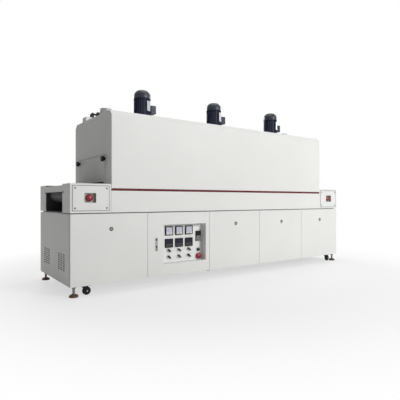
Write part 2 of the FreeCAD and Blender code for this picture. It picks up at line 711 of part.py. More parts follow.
def bed_skirt(across):
    """A long folded side wall of the bed, with inward flanges at its top and bottom."""
    body = new_body("skirt_" + SIDE_NAMES[across])
    section = sketch_on(body, "YZ_Plane")
    outline(section, (
        ("half_dep", "base_top"), ("half_dep", "skirt_top"), ("half_dep - skirt_flange", "skirt_top"),
        ("half_dep - skirt_flange", "skirt_top - sheet"), ("half_dep - sheet", "skirt_top - sheet"),
        ("half_dep - sheet", "base_top + sheet"), ("half_dep - skirt_flange", "base_top + sheet"),
        ("half_dep - skirt_flange", "base_top")))
    pad(body, section, "hood_length", both_ways=True)
    return place(body, ("0", "0", "0"), HALF_TURN if across < 0 else UPRIGHT)


def conduit_columns():
    """Place along X and standing-off Y of the two conduits' upright runs, inner one first."""
    inner = "conduit_exit - conduit_run"
    return ((inner, "conduit_y"), (f"{inner} - conduit_pitch", "conduit_y + conduit_pitch"))


def conduit_elbow(index, x, y):
    """A right-angle gland on the back skirt that takes a conduit's lower end."""
    name = f"conduit_elbow_{index}"
    neck = cylinder(name + "_neck", "gland_radius * 0.75", f"{y} - half_dep",
                    (x, "half_dep", "conduit_foot - gland_radius - gland_length"), ALONG_Y)
    cup = cylinder(name + "_cup", "gland_radius", "2 * gland_radius + gland_length",
                   (x, y, "conduit_foot - 2 * gland_radius - gland_length"))
    return fuse(name, [neck, cup])


def bed_skirts():
    elbows = [conduit_elbow(index, x, y) for index, (x, y) in enumerate(conduit_columns())]
    return group("bed_skirts", [bed_skirt(across) for across in SIDES] + elbows)


def trough_wall(across):
    """A side of the trough, folded outwards along its top to reach the skirt."""
    body = new_body("trough_wall_" + SIDE_NAMES[across])
    section = sketch_on(body, "YZ_Plane")
    inside, wing, lip = "trough_half - sheet", "half_dep - sheet", "skirt_top - sheet"
    outline(section, (
        (inside, "base_top + sheet"), ("trough_half", "base_top + sheet"), ("trough_half", f"{lip} - sheet"),
        (wing, f"{lip} - sheet"), (wing, lip), (inside, lip)))
    pad(body, section, "hood_length", both_ways=True)
    return place(body, ("0", "0", "0"), HALF_TURN if across < 0 else UPRIGHT)


def bed_trough():
    """The open heated trough under the belt's upper run: a floor and two sides."""
    floor = box("trough_floor", ("hood_length", "2 * trough_half", "sheet"),
                ("-hood_length / 2", "-trough_half", "base_top"))
    return group("bed_trough", [floor] + [trough_wall(across) for across in SIDES])


def belt_supports():
    """The rods that carry the belt's upper run, on short legs on the trough's rim."""
    rim = "skirt_top - sheet"
    axis = "belt_top - belt_thick - running_gap - rod_radius"
    pieces = []
    for index in SUPPORT_RODS:
        x = f"{index} * rod_pitch"
        bar = cylinder(f"support_rod_{index}", "rod_radius", "2 * trough_half", (x, "-trough_half", axis),
                       ALONG_Y)
        legs = [box(f"support_leg_{index}_{across}", ("2 * rod_radius", "sheet", f"{axis} - ({rim})"),
                    (f"{x} - rod_radius", "trough_half - sheet" if across > 0 else "-trough_half", rim))
                for across in SIDES]
        pieces.append(fuse(f"belt_support_{index}", [bar, *legs]))
    return group("belt_supports", pieces)


def end_cheek(corner):
    """A hollow box beside the belt, open outwards behind its cover, bored for the drum shaft."""
    along, across = corner
    name = "cheek_" + CORNER_NAMES[corner]
    x = "hood_half" if along > 0 else "-half_len"
    outer = "half_dep - sheet"
    y = "cheek_inner" if across > 0 else f"-({outer})"
    shell = box(name + "_shell", ("block_length", "cheek_width - sheet", "bed_height"), (x, y, "base_top"))
    cavity = box(name + "_cavity", ("block_length - 2 * cheek_wall", "cheek_width - sheet - 2 * cheek_wall",
                                    "bed_height - 2 * cheek_wall"),
                 (f"{x} + cheek_wall", f"{y} + cheek_wall", "base_top + cheek_wall"))
    lap = "cover_margin + cover_lap"
    opening = box(name + "_opening", (f"block_length - 2 * ({lap})", "3 * cheek_wall",
                                      f"bed_height - 2 * ({lap})"),
                  (f"{x} + {lap}", f"{outer} - 2 * cheek_wall" if across > 0 else f"-({outer}) - cheek_wall",
                   f"base_top + {lap}"))
    axis = "outlet_axis" if along > 0 else "inlet_axis"
    bore = cylinder(name + "_bore", "drum_shaft_radius + cheek_wall", "3 * cheek_wall",
                    (axis, "cheek_inner - cheek_wall" if across > 0 else "-cheek_inner - 2 * cheek_wall",
                     "drum_axis"), ALONG_Y)
    tools = [cavity, opening, bore]
    if along < 0:
        tools += tension_openings(name, across)
    return cut(name, shell, tools)


def tension_openings(name, across):
    """The round hole to a belt tension screw and the slit below it, in an inlet end wall."""
    y = f"{across} * (cheek_inner + access_inset)"
    hole = cylinder(name + "_access", "access_radius", "3 * cheek_wall",
                    ("-half_len - cheek_wall", y, "block_top - access_drop"), ALONG_X)
    slit = box(name + "_slit", ("3 * cheek_wall", "slit_width", "slit_height"),
               ("-half_len - cheek_wall", f"{y} - slit_width / 2", "base_top + slit_rise"))
    return [hole, slit]


def entry_plate():
    """The cross plate under the belt's inlet, folded inwards along its lower edge."""
    low = "block_top - entry_drop - entry_height"
    corner = ("-half_len", "-cheek_inner", low)
    face = box("entry_face", ("cheek_wall", "2 * cheek_inner", "entry_height"), corner)
    lip = box("entry_fold", ("entry_lip", "2 * cheek_inner", "sheet"), corner)
    return fuse("entry_plate", [face, lip])


def end_deck(along):
    """The floor between two end blocks, under the belt's drum."""
    return box("deck_" + END_NAMES[along], ("block_length - panel_depth", "2 * cheek_inner", "sheet"),
               ("hood_half" if along > 0 else "-half_len + panel_depth", "-cheek_inner", "base_top"))


def end_blocks():
    cheeks = [end_cheek(corner) for corner in CORNERS]
    return group("end_blocks", cheeks + [entry_plate()] + [end_deck(along) for along in SIDES])


def stop_x(along):
    return f"{along} * (half_len - stop_inset)"


def cover_plate(corner):
    """The screwed cover of an end block; the front ones are cut out for the emergency stops."""
    along, across = corner
    x = "hood_half" if along > 0 else "-half_len"
    y = "half_dep - sheet" if across > 0 else "-half_dep"
    name = "cover_" + CORNER_NAMES[corner]
    plate = box(name, ("block_length - 2 * cover_margin", "sheet", "bed_height - 2 * cover_margin"),
                (f"{x} + cover_margin", y, "base_top + cover_margin"))
    if across > 0:
        return plate
    window = box(name + "_window", ("stop_box_width", "3 * sheet", "stop_box_height"),
                 (f"{stop_x(along)} - stop_box_width / 2", f"{y} - sheet", "stop_z - stop_box_height / 2"))
    return cut(name + "_cut", plate, [window])


def stop_cup(along):
    """The open box behind a front cover that sinks an emergency stop below the cover's face."""
    body = new_body(f"stop_cup_{END_NAMES[along]}")
    half_width, half_height = "stop_box_width / 2", "stop_box_height / 2"
    shell = sketch_on(body, "XZ_Plane", "-sheet")
    rectangle(shell, f"-{half_width} - sheet", f"-{half_height} - sheet", f"{half_width} + sheet",
              f"{half_height} + sheet")
    pad(body, shell, "stop_recess", reverse=True)
    inside = sketch_on(body, "XZ_Plane", "-sheet")
    rectangle(inside, f"-{half_width}", f"-{half_height}", half_width, half_height)
    pocket(body, inside, "stop_recess - sheet")
    hole = sketch_on(body, "XZ_Plane", "-stop_recess")
    circle(hole, "0", "0", "button_neck_radius + running_gap")
    pocket(body, hole, "2 * sheet")
    return place(body, (stop_x(along), "-half_dep", "stop_z"))


def end_covers():
    plates = [cover_plate(corner) for corner in CORNERS]
    return group("end_covers", plates + [stop_cup(along) for along in SIDES])


def mesh_belt():
    def stadium(name, radius, width):
        start = f"-({width}) / 2"
        flat = box(name + "_flat", ("outlet_axis - inlet_axis", width, f"2 * ({radius})"),
                   ("inlet_axis", start, f"drum_axis - ({radius})"))
        ends = [cylinder(f"{name}_{axis}", radius, width, (axis, start, "drum_axis"), ALONG_Y)
                for axis in ("inlet_axis", "outlet_axis")]
        return fuse(name, [flat, *ends])

    return cut("mesh_belt", stadium("belt_outside", "wrap_radius + belt_thick", "belt_width"),
               [stadium("belt_inside", "wrap_radius", "belt_width + 2 * belt_thick")])


def drum(name, axis, drive_end):
    """A belt drum turned with its shaft; its own Z axis lies along +Y."""
    face = "(belt_width / 2 + drum_overhang)"
    body = revolve(name, (
        ("0", "-bearing_end"), ("drum_shaft_radius", "-bearing_end"), ("drum_shaft_radius", f"-{face}"),
        ("drum_radius", f"-{face}"), ("drum_radius", face), ("drum_shaft_radius", face),
        ("drum_shaft_radius", drive_end), ("0", drive_end)))
    return place(body, (axis, "0", "drum_axis"), ALONG_Y)


def drum_bearing(corner):
    along, across = corner
    name = "bearing_" + CORNER_NAMES[corner]
    axis = "outlet_axis" if along > 0 else "inlet_axis"
    seat = "cheek_inner + cheek_wall"
    flange = box(name + "_flange", ("bearing_size", "bearing_thick", "bearing_size"),
                 (f"{axis} - bearing_size / 2", seat if across > 0 else f"-({seat}) - bearing_thick",
                  "drum_axis - bearing_size / 2"))
    turn = ALONG_Y if across > 0 else TOWARDS_FRONT
    boss = cylinder(name + "_boss", "bearing_boss_radius", "bearing_thick + bearing_boss",
                    (axis, f"{across} * ({seat})", "drum_axis"), turn)
    bore = cylinder(name + "_bore", "drum_shaft_radius + shaft_fit", "bearing_thick + bearing_boss",
                    (axis, f"{across} * ({seat})", "drum_axis"), turn)
    return cut(name, fuse(name + "_body", [flange, boss]), [bore])


def drive_gearmotor():
    """A hollow-shaft gearmotor on the outlet drum's back journal."""
    case = box("gearbox_case", ("gearbox_size", "gearbox_width", "gearbox_size"),
               ("outlet_axis - gearbox_size / 2", "bearing_end", "drum_axis - gearbox_size / 2"))
    motor_end = "outlet_axis - gearbox_size / 2 - drive_motor_length"
    motor = cylinder("drive_motor", "drive_motor_radius", "drive_motor_length",
                     (motor_end, "bearing_end + gearbox_width / 2", "drum_axis"), ALONG_X)
    bore = cylinder("gearbox_bore", "drum_shaft_radius + shaft_fit", "gearbox_width",
                    ("outlet_axis", "bearing_end", "drum_axis"), ALONG_Y)
    return cut("drive_gearmotor", fuse("gearmotor_body", [case, motor]), [bore])


def lower_heaters():
    inside = "trough_half - sheet"
    return group("lower_heaters", [
        cylinder(f"lower_heater_{index}", "heater_radius", f"2 * ({inside})",
                 (f"{index} * lower_heater_pitch", f"-({inside})", "belt_top - heater_drop"), ALONG_Y)
        for index in LOWER_HEATERS])


def hood_seal():
    edges = {-1: "-half_dep + sheet", 1: "half_dep - sheet - seal_width"}
    return group("hood_seal", [
        box("seal_" + SIDE_NAMES[across], ("2 * hood_end", "seal_width", "seal_height"),
            ("-hood_end", edge, "skirt_top")) for across, edge in edges.items()])


# Hood hinges


def hinge_leaf(index, upper):
    """One leaf of a butt hinge: the upper has the middle knuckle, the lower the two outer ones."""
    name = f"hinge_{'upper' if upper else 'lower'}_{index}"
    left = f"{index} * hinge_pitch - hinge_width / 2"
    reach = "knuckle_radius + running_gap"
    plate = box(name + "_plate", ("hinge_width", "leaf_thick", "leaf_height"),
                (left, "half_dep", f"seam + {reach}" if upper else f"seam - ({reach}) - leaf_height"))
    if upper:
        inset = "(knuckle_length + running_gap)"
        spans = [(f"{left} + {inset}", f"hinge_width - 2 * {inset}")]
    else:
        spans = [(left, "knuckle_length"), (f"{left} + hinge_width - knuckle_length", "knuckle_length")]
    solids = [plate]
    for number, (start, width) in enumerate(spans):
        solids.append(box(f"{name}_bridge_{number}", (width, "leaf_thick", reach),
                          (start, "half_dep", "seam" if upper else f"seam - ({reach})")))
        solids.append(cylinder(f"{name}_knuckle_{number}", "knuckle_radius", width,
                               (start, "hinge_axis", "seam"), ALONG_X))
    bore = cylinder(name + "_bore", "pin_radius + shaft_fit" if upper else "pin_radius", "hinge_width",
                    (left, "hinge_axis", "seam"), ALONG_X)
    return cut(name, fuse(name + "_solid", solids), [bore])


def hinge_pin(index):
    return cylinder(f"hinge_pin_{index}", "pin_radius", "hinge_width",
                    (f"{index} * hinge_pitch - hinge_width / 2", "hinge_axis", "seam"), ALONG_X)


def lower_hinges():
    leaves = [hinge_leaf(index, False) for index in HINGES]
    return group("hinge_base_leaves", leaves + [hinge_pin(index) for index in HINGES])


def upper_hinges():
    return group("hinge_hood_leaves", [hinge_leaf(index, True) for index in HINGES])


# Hood


def motor_places():
    return [(f"{index} * motor_pitch", "-motor_shift") for index in MOTORS]


def spigot_places():
    return [(f"{along} * (hood_half - spigot_inset)", "0") for along in SIDES]


def hood_shell():
    """The folded outer skin of the hood: walls, bevels and roof in one section, flanged inwards below."""
    body = new_body("hood_shell")
    section = sketch_on(body, "YZ_Plane")
    right = [("half_dep - hood_flange", "hood_bottom"), ("half_dep", "hood_bottom"),
             ("half_dep", "face_top"), ("half_dep - hood_chamfer", "roof")]
    inside = [("half_dep - hood_chamfer - bevel_offset", "roof - sheet"),
              ("half_dep - sheet", "face_top - bevel_offset"), ("half_dep - sheet", "hood_bottom + sheet"),
              ("half_dep - hood_flange", "hood_bottom + sheet")]

    def mirrored(points):
        return [(f"-({y})", z) for y, z in reversed(points)]

    outline(section, right + mirrored(right) + mirrored(inside) + inside)
    pad(body, section, "2 * shell_half", both_ways=True)
    openings = sketch_on(body, "XY_Plane", "roof")
    for x, y in motor_places():
        circle(openings, x, y, "roof_hole_radius")
    for x, y in spigot_places():
        circle(openings, x, y, "spigot_radius - spigot_wall")
    pocket(body, openings, "2 * sheet")
    return body


def hood_end_plate(along):
    """The hood's end wall with the tunnel mouth and the two studs that carry a gate."""
    body = new_body(f"hood_end_{END_NAMES[along]}")
    wall = sketch_on(body, "YZ_Plane", "shell_half")
    outline(wall, (
        ("-half_dep", "hood_bottom"), ("-mouth_half", "hood_bottom"), ("-mouth_half", "mouth_top"),
        ("mouth_half", "mouth_top"), ("mouth_half", "hood_bottom"), ("half_dep", "hood_bottom"),
        ("half_dep", "face_top"), ("half_dep - hood_chamfer", "roof"), ("-half_dep + hood_chamfer", "roof"),
        ("-half_dep", "face_top")))
    pad(body, wall, "end_plate")
    studs = sketch_on(body, "YZ_Plane", "hood_end")
    for across in SIDES:
        circle(studs, f"{across} * stud_y", "stud_z", "stud_radius")
    pad(body, studs, "stud_length")
    return place(body, ("0", "0", "0"), HALF_TURN if along < 0 else UPRIGHT)


def hood_ends():
    return group("hood_end_plates", [hood_end_plate(along) for along in SIDES])


def nozzle_liner():
    """The inner liner: wings over the hood's flanges, the chamber walls, and the slotted nozzle plate."""
    body = new_body("nozzle_liner")
    section = sketch_on(body, "YZ_Plane")
    wing, foot = "half_dep - sheet", "hood_bottom + sheet"
    outline(section, (
        (f"-({wing})", foot), ("-chamber_half", foot), ("-chamber_half", "chamber_top"),
        ("chamber_half", "chamber_top"), ("chamber_half", foot), (wing, foot), (wing, f"{foot} + sheet"),
        ("chamber_half + sheet", f"{foot} + sheet"), ("chamber_half + sheet", "chamber_top + sheet"),
        ("-chamber_half - sheet", "chamber_top + sheet"), ("-chamber_half - sheet", f"{foot} + sheet"),
        (f"-({wing})", f"{foot} + sheet")))
    pad(body, section, "2 * shell_half", both_ways=True)
    slot = sketch_on(body, "XY_Plane", "chamber_top + sheet")
    first = "-(nozzle_count - 1) * nozzle_pitch / 2"
    rectangle(slot, f"{first} - nozzle_width / 2", "-nozzle_length / 2", f"{first} + nozzle_width / 2",
              "nozzle_length / 2")
    slots = pocket(body, slot, "2 * sheet")
    repeat_along(body, slots, "X_Axis", "nozzle_pitch", "nozzle_count")
    return body


def upper_heaters():
    return group("upper_heaters", [
        cylinder(f"upper_heater_{number}", "heater_radius", "upper_heater_length",
                 (f"{index} * upper_heater_pitch", "-upper_heater_length / 2",
                  "chamber_top + sheet + running_gap + heater_radius"), ALONG_Y)
        for number, index in enumerate(UPPER_HEATERS)])


def motor_housing(name):
    """A finned motor housing on its flange, bored from below for the blower shaft."""
    bore, top = "fan_shaft_radius + shaft_fit", "flange_thick + housing_height"
    body = revolve(name, (
        (bore, "0"), ("flange_radius", "0"), ("flange_radius", "flange_thick"),
        ("core_radius", "flange_thick"), ("core_radius", top), ("0", top),
        ("0", "shaft_engagement + running_gap"), (bore, "shaft_engagement + running_gap")))
    drawing = sketch_on(body, "XZ_Plane")
    rectangle(drawing, "core_radius - fin_thick", "flange_thick", "fin_radius", top)
    fin = pad(body, drawing, "fin_thick", both_ways=True)
    repeat_round(body, fin, "fin_count")
    return body


def motor_cowl(name):
    """A domed fan cowl with a ring of air slots, open below."""
    side, crown = "cowl_radius", "cowl_crown_radius"
    inner = f"{side} - cowl_wall"
    body = revolve(name, (
        (inner, "0"), (side, "0"), (side, "cowl_skirt", side, "left"), (crown, "cowl_height"),
        ("0", "cowl_height"), ("0", "cowl_height - cowl_wall"),
        (crown, "cowl_height - cowl_wall", inner, "right"), (inner, "cowl_skirt")))
    drawing = sketch_on(body, "XY_Plane", "cowl_height")
    rectangle(drawing, "grille_hub_radius", "-grille_width / 2", f"{crown} - cowl_wall", "grille_width / 2")
    slot = pocket(body, drawing, "2 * cowl_wall")
    repeat_round(body, slot, "grille_slots")
    return body


def blower_motor(number, x, y):
    name = f"blower_motor_{number}"
    housing = place(motor_housing(name + "_housing"), (x, y, "roof"))
    cowl = place(motor_cowl(name + "_cowl"), (x, y, "roof + flange_thick + housing_height"))
    terminal = box(name + "_terminal_box", ("terminal_length", "terminal_width", "terminal_height"),
                   (f"{x} + fin_radius", f"{y} - terminal_width / 2", "roof + terminal_rise"))
    return group(name, [housing, cowl, terminal])


def blower_wheel(number, x, y):
    """A shrouded radial impeller on its shaft; its own origin is on the roof, on the motor's axis."""
    top = "-impeller_drop"
    under = f"({top} - impeller_disc)"
    floor = f"({under} - impeller_height)"
    body = revolve(f"blower_wheel_{number}", (
        ("0", floor), ("impeller_hub_radius", floor), ("impeller_hub_radius", under),
        ("impeller_radius", under), ("impeller_radius", top), ("fan_shaft_radius", top),
        ("fan_shaft_radius", "shaft_engagement"), ("0", "shaft_engagement")))
    drawing = sketch_on(body, "XZ_Plane")
    rectangle(drawing, "impeller_hub_radius - blade_thick", floor, "impeller_radius - blade_thick", under)
    blade = pad(body, drawing, "blade_thick", both_ways=True)
    repeat_round(body, blade, "blade_count")
    shroud = sketch_on(body, "XY_Plane", f"{floor} - impeller_disc")
    circle(shroud, "0", "0", "impeller_radius")
    circle(shroud, "0", "0", "impeller_eye_radius")
    body.Tip = pad(body, shroud, "impeller_disc")
    return place(body, (x, y, "roof"))


def exhaust_spigots():
    pieces = []
    for number, (x, y) in enumerate(spigot_places()):
        tube = revolve(f"spigot_{number}", (
            ("spigot_radius - spigot_wall", "0"), ("spigot_flange_radius", "0"),
            ("spigot_flange_radius", "spigot_flange"), ("spigot_radius", "spigot_flange"),
            ("spigot_radius", "spigot_height"), ("spigot_radius - spigot_wall", "spigot_height")))
        pieces.append(place(tube, (x, y, "roof")))
    return group("exhaust_spigots", pieces)


def lamp_bracket():
    """A base plate with two ears and a pin for the folding signal lamp."""
    width = "2 * (lamp_barrel_radius + running_gap + lamp_ear)"
    base = box("lamp_foot", ("4 * lamp_barrel_radius", width, "lamp_ear"),
               ("lamp_x - 2 * lamp_barrel_radius", f"lamp_y - ({width}) / 2", "trunk_top"))
    solids = [base]
    for across in SIDES:
        y = "lamp_y + lamp_barrel_radius + running_gap" if across > 0 else f"lamp_y - ({width}) / 2"
        solids.append(box(f"lamp_ear_{SIDE_NAMES[across]}",
                          ("2 * lamp_barrel_radius", "lamp_ear", "lamp_rise"),
                          ("lamp_x - lamp_barrel_radius", y, "trunk_top")))
        solids.append(cylinder(f"lamp_eye_{SIDE_NAMES[across]}", "lamp_barrel_radius", "lamp_ear",
                               ("lamp_x", y, "lamp_z"), ALONG_Y))
    solids.append(cylinder("lamp_pin", "lamp_pin_radius", width,
                           ("lamp_x", f"lamp_y - ({width}) / 2", "lamp_z"), ALONG_Y))
    return fuse("lamp_bracket", solids)


def signal_lamp():
    """A two-colour signal lamp, laid flat along +X from its pivot barrel."""
    base = "lamp_stem + lamp_base"
    first = f"{base} + lamp_lens"
    second = f"{first} + lamp_ring + lamp_lens"
    neck = "lamp_radius * 0.9"
    body = revolve("signal_lamp", (
        ("0", "lamp_barrel_radius * 0.6"), ("lamp_stem_radius", "lamp_barrel_radius * 0.6"),
        ("lamp_stem_radius", "lamp_stem"), (neck, "lamp_stem"), (neck, base), ("lamp_radius", base),
        ("lamp_radius", first), (neck, first), (neck, f"{first} + lamp_ring"),
        ("lamp_radius", f"{first} + lamp_ring"), ("lamp_radius", second),
        ("lamp_radius", f"{second} + lamp_cap - lamp_dome", cap_radius("lamp_radius", "lamp_dome"), "left"),
        ("0", f"{second} + lamp_cap")))
    barrel = sketch_on(body, "XZ_Plane")
    circle(barrel, "0", "0", "lamp_barrel_radius")
    pad(body, barrel, "2 * lamp_barrel_radius", both_ways=True)
    bore = sketch_on(body, "XZ_Plane")
    circle(bore, "0", "0", "lamp_pin_radius + shaft_fit")
    pocket(body, bore, "3 * lamp_barrel_radius", both_ways=True)
    return place(body, ("lamp_x", "lamp_y", "lamp_z"), ALONG_X)


def cable_trunking():
    """An inverted tray along the roof's back edge, the conduits' glands and the lamp's bracket."""
    body = new_body("trunk_cover")
    left, right = "-hood_half + trunk_inset", "hood_half - trunk_far_inset"
    front = "trunk_back - trunk_width"
    plan = sketch_on(body, "XY_Plane", "roof")
    rectangle(plan, left, front, right, "trunk_back")
    pad(body, plan, "trunk_height")
    hollow = sketch_on(body, "XY_Plane", "roof")
    rectangle(hollow, f"{left} + sheet", f"{front} + sheet", f"{right} - sheet", "trunk_back - sheet")
    pocket(body, hollow, "trunk_height - sheet", reverse=True)
    glands = [cylinder(f"trunk_gland_{index}", "gland_radius", "gland_length",
                       (x, "trunk_back", "conduit_top"), ALONG_Y) for index, x in enumerate(conduit_exits())]
    return group("cable_trunking", [body, *glands, lamp_bracket()])


# Flexible conduits


def conduit_exits():
    return ("conduit_exit", "conduit_exit + conduit_pitch + 2 * gland_radius")


def rounded_path(corners, radii):
    """Straight runs through the corners, joined by tangent arcs."""
    edges = []
    start = corners[0]
    for before, corner, after, radius in zip(corners, corners[1:], corners[2:], radii):
        back = (before - corner).normalize()
        ahead = (after - corner).normalize()
        setback = radius / math.tan(back.getAngle(ahead) / 2)
        middle = (back + ahead).normalize()
        centre = corner + middle * math.hypot(radius, setback)
        bend_start, bend_end = corner + back * setback, corner + ahead * setback
        edges.append(Part.LineSegment(start, bend_start).toShape())
        edges.append(Part.Arc(bend_start, centre - middle * radius, bend_end).toShape())
        start = bend_end
    edges.append(Part.LineSegment(start, corners[-1]).toShape())
    return Part.Wire(edges)


def conduit(index):
    """One flexible conduit from its roof gland, along the hood, and down the hood's back to its elbow."""
    x, y = (value(formula) for formula in conduit_columns()[index])
    leave, height = value(conduit_exits()[index]), value("conduit_top")
    corners = [Vector(leave, value("trunk_back + gland_length"), height), Vector(leave, y, height),
               Vector(x, y, height), Vector(x, y, value("conduit_foot"))]
    bend = value("conduit_bend") + index * value("conduit_pitch")
    path = rounded_path(corners, (bend, bend))
    radius = value("conduit_radius")
    ring = Part.Wire(Part.Circle(corners[0], Vector(0, 1, 0), radius).toShape())
    tube = path.makePipeShell([ring], True, False)
    expected = math.pi * radius ** 2 * path.Length
    if abs(tube.Volume - expected) > 0.001 * expected:
        raise RuntimeError(f"conduit {index} is not a full tube")
    print(f"conduit {index}: length {path.Length:.0f} mm, bend radius {bend:.0f} mm")
    return tube


def flexible_conduits():
    node = doc.addObject("Part::Feature", "flexible_conduits")
    node.Shape = Part.makeCompound([conduit(index) for index in range(len(conduit_columns()))])
    return node


# Tunnel gates


def tunnel_gate(along):
    """A sliding gate over the tunnel mouth, slotted for its studs, with a folded lip along its top."""
    body = new_body(f"{END_NAMES[along]}_gate")
    top = "gate_bottom + gate_height"
    face = sketch_on(body, "YZ_Plane", "gate_face")
    rectangle(face, "-gate_half", "gate_bottom", "gate_half", top)
    reach = "(stud_radius + running_gap)"
    for across in SIDES:
        left, right = f"{across} * stud_y - {reach}", f"{across} * stud_y + {reach}"
        low, high = "gate_bottom + slot_end", "stud_z + stud_radius"
        outline(face, ((left, high, f"1.2 * {reach}", "right"), (right, high),
                       (right, low, f"1.2 * {reach}", "right"), (left, low)))
    pad(body, face, "sheet")
    lip = sketch_on(body, "YZ_Plane", "gate_face")
    rectangle(lip, "-gate_half", f"{top} - sheet", "gate_half", top)
    pad(body, lip, "gate_lip")
    return place(body, ("0", "0", "0"), HALF_TURN if along < 0 else UPRIGHT)


def gate_knob(corner):
    """A scalloped clamping knob on a gate stud."""
    along, across = corner
    name = "gate_knob_" + CORNER_NAMES[corner]
    bore, waist, rim = "stud_radius + shaft_fit", "knob_waist_radius", "knob_height / 6"
    depth = "stud_length - 2 * running_gap - sheet"
    body = revolve(name, (
        (bore, "0"), (waist, "0"), (waist, "knob_waist"), ("knob_radius", f"knob_waist + {rim}"),
        ("knob_radius", "knob_height"), (f"knob_radius - {rim}", f"knob_height + {rim}"),
        ("0", f"knob_height + {rim}"), ("0", depth), (bore, depth)))
    drawing = sketch_on(body, "XY_Plane", "2 * knob_height")
    circle(drawing, "knob_radius + scallop_radius / 2", "0", "scallop_radius")
    scallop = pocket(body, drawing, "2 * knob_height - knob_waist / 2")
    repeat_round(body, scallop, "scallops")
    return place(body, (f"{along} * (gate_face + sheet + running_gap)", f"{across} * stud_y", "stud_z"),
                 ALONG_X if along > 0 else AGAINST_X)


# Controls


def mushroom_button(name, x, face, z):
    """A mushroom push button whose stem slides in the plate at the given distance in front of the middle."""
    stand = "button_travel + running_gap"
    shoulder = f"{stand} + mushroom_height - mushroom_dome"
    dome = cap_radius("mushroom_radius", "mushroom_dome")
    body = revolve(name, (
        ("0", "-button_stem"), ("button_neck_radius", "-button_stem"), ("button_neck_radius", stand),
        ("mushroom_radius", stand), ("mushroom_radius", shoulder, dome, "left"),
        ("0", f"{stand} + mushroom_height")))
    return place(body, (x, f"-({face})", z), TOWARDS_FRONT)


def control_door():
    """The front panel that carries the instruments: window, latch well and pivot pins."""
    body = tray("control_door", "panel_width", "door_height", "panel_depth - door_clear")
    middle = "(door_left + door_right) / 2"
    window = sketch_on(body, "XZ_Plane")
    sill = "window_bottom - door_bottom"
    rectangle(window, f"window_left - {middle}", sill, f"window_left + window_width - {middle}",
              f"{sill} + window_height")
    pocket(body, window, "2 * sheet")
    left, low = f"door_left + latch_inset - {middle}", "latch_rise - running_gap"
    right, high = f"{left} + latch_width", f"{low} + latch_height"
    surround = sketch_on(body, "XZ_Plane", "-sheet")
    rectangle(surround, f"{left} - latch_frame", f"{low} - latch_frame", f"{right} + latch_frame",
              f"{high} + latch_frame")
    pad(body, surround, "latch_depth + sheet", reverse=True)
    well = sketch_on(body, "XZ_Plane")
    rectangle(well, f"{left} - running_gap", f"{low} - running_gap", f"{right} + running_gap",
              f"{high} + latch_clear")
    pocket(body, well, "latch_depth + latch_clear")
    sockets = sketch_on(body, "YZ_Plane", f"{left} + latch_width / 2")
    circle(sockets, "latch_pivot", f"{high} - latch_pivot", "latch_pin_radius + shaft_fit")
    pocket(body, sockets, "latch_width + latch_frame + running_gap", both_ways=True)
    for level, reverse in (("door_height", False), ("0", True)):
        pins = sketch_on(body, "XY_Plane", level)
        circle(pins, f"door_right - pivot_inset - {middle}", "pivot_inset", "pivot_radius")
        pad(body, pins, "pivot_plate + running_gap", reverse=reverse)
    return place(body, (middle, "-half_dep", "door_bottom"))


def door_latch():
    """A flush paddle on two stub pins in the door's latch well."""
    body = new_body("door_latch")
    face = sketch_on(body, "XZ_Plane")
    rectangle(face, "0", "0", "latch_width", "latch_height")
    pad(body, face, "latch_depth", reverse=True)
    grip = sketch_on(body, "XZ_Plane")
    rectangle(grip, "latch_frame", "latch_frame", "latch_width - latch_frame", "latch_height / 4")
    pocket(body, grip, "latch_depth / 2")
    pins = sketch_on(body, "YZ_Plane", "latch_width / 2")
    circle(pins, "latch_pivot", "latch_height - latch_pivot", "latch_pin_radius")
    pad(body, pins, "latch_width + latch_frame", both_ways=True)
    return place(body, ("door_left + latch_inset", "-half_dep", "floor_gap + latch_rise"))


def columns():
    return [f"(window_left + instrument_inset + {index} * instrument_column)" for index in range(3)]


def switch_places():
    return [(x, f"window_bottom + switch_rise - {row} * switch_row") for row in range(2) for x in columns()]


def instrument_places():
    """Name, centre and front size of every meter and controller on the plate."""
    square = ("instrument_size", "instrument_size")
    rows = [("ammeter", "meter_rise"), ("temperature_controller", "controller_rise")]
    places = [(f"{name}_{index}", x, f"window_bottom + {rise}", *square)
              for name, rise in rows for index, x in enumerate(columns())]
    places.append(("speed_controller", "speed_x", "window_bottom + speed_rise", "speed_width",
                   "speed_height"))
    return places


def instrument_plate():
    """The open-fronted box behind the door's window, cut out for the instruments and switches."""
    body = new_body("instrument_plate")
    right, top = "window_left + window_width", "window_bottom + window_height"
    shell = sketch_on(body, "XZ_Plane", "half_dep - sheet")
    rectangle(shell, "window_left - sheet", "window_bottom - sheet", f"{right} + sheet", f"{top} + sheet")
    pad(body, shell, "recess_depth", reverse=True)
    inside = sketch_on(body, "XZ_Plane", "half_dep - sheet")
    rectangle(inside, "window_left", "window_bottom", right, top)
    pocket(body, inside, "recess_depth - sheet")
    holes = sketch_on(body, "XZ_Plane", "plate_face")
    for _, x, z, width, height in instrument_places():
        rectangle(holes, f"{x} - {width} / 2 + instrument_lap", f"{z} - {height} / 2 + instrument_lap",
                  f"{x} + {width} / 2 - instrument_lap", f"{z} + {height} / 2 - instrument_lap")
    for x, z in [*switch_places(), ("speed_x", "window_bottom + dial_rise")]:
        circle(holes, x, z, "spindle_radius + shaft_fit")
    circle(holes, "speed_x", "window_bottom + main_stop_rise", "button_neck_radius + running_gap")
    pocket(body, holes, "2 * sheet")
    return body


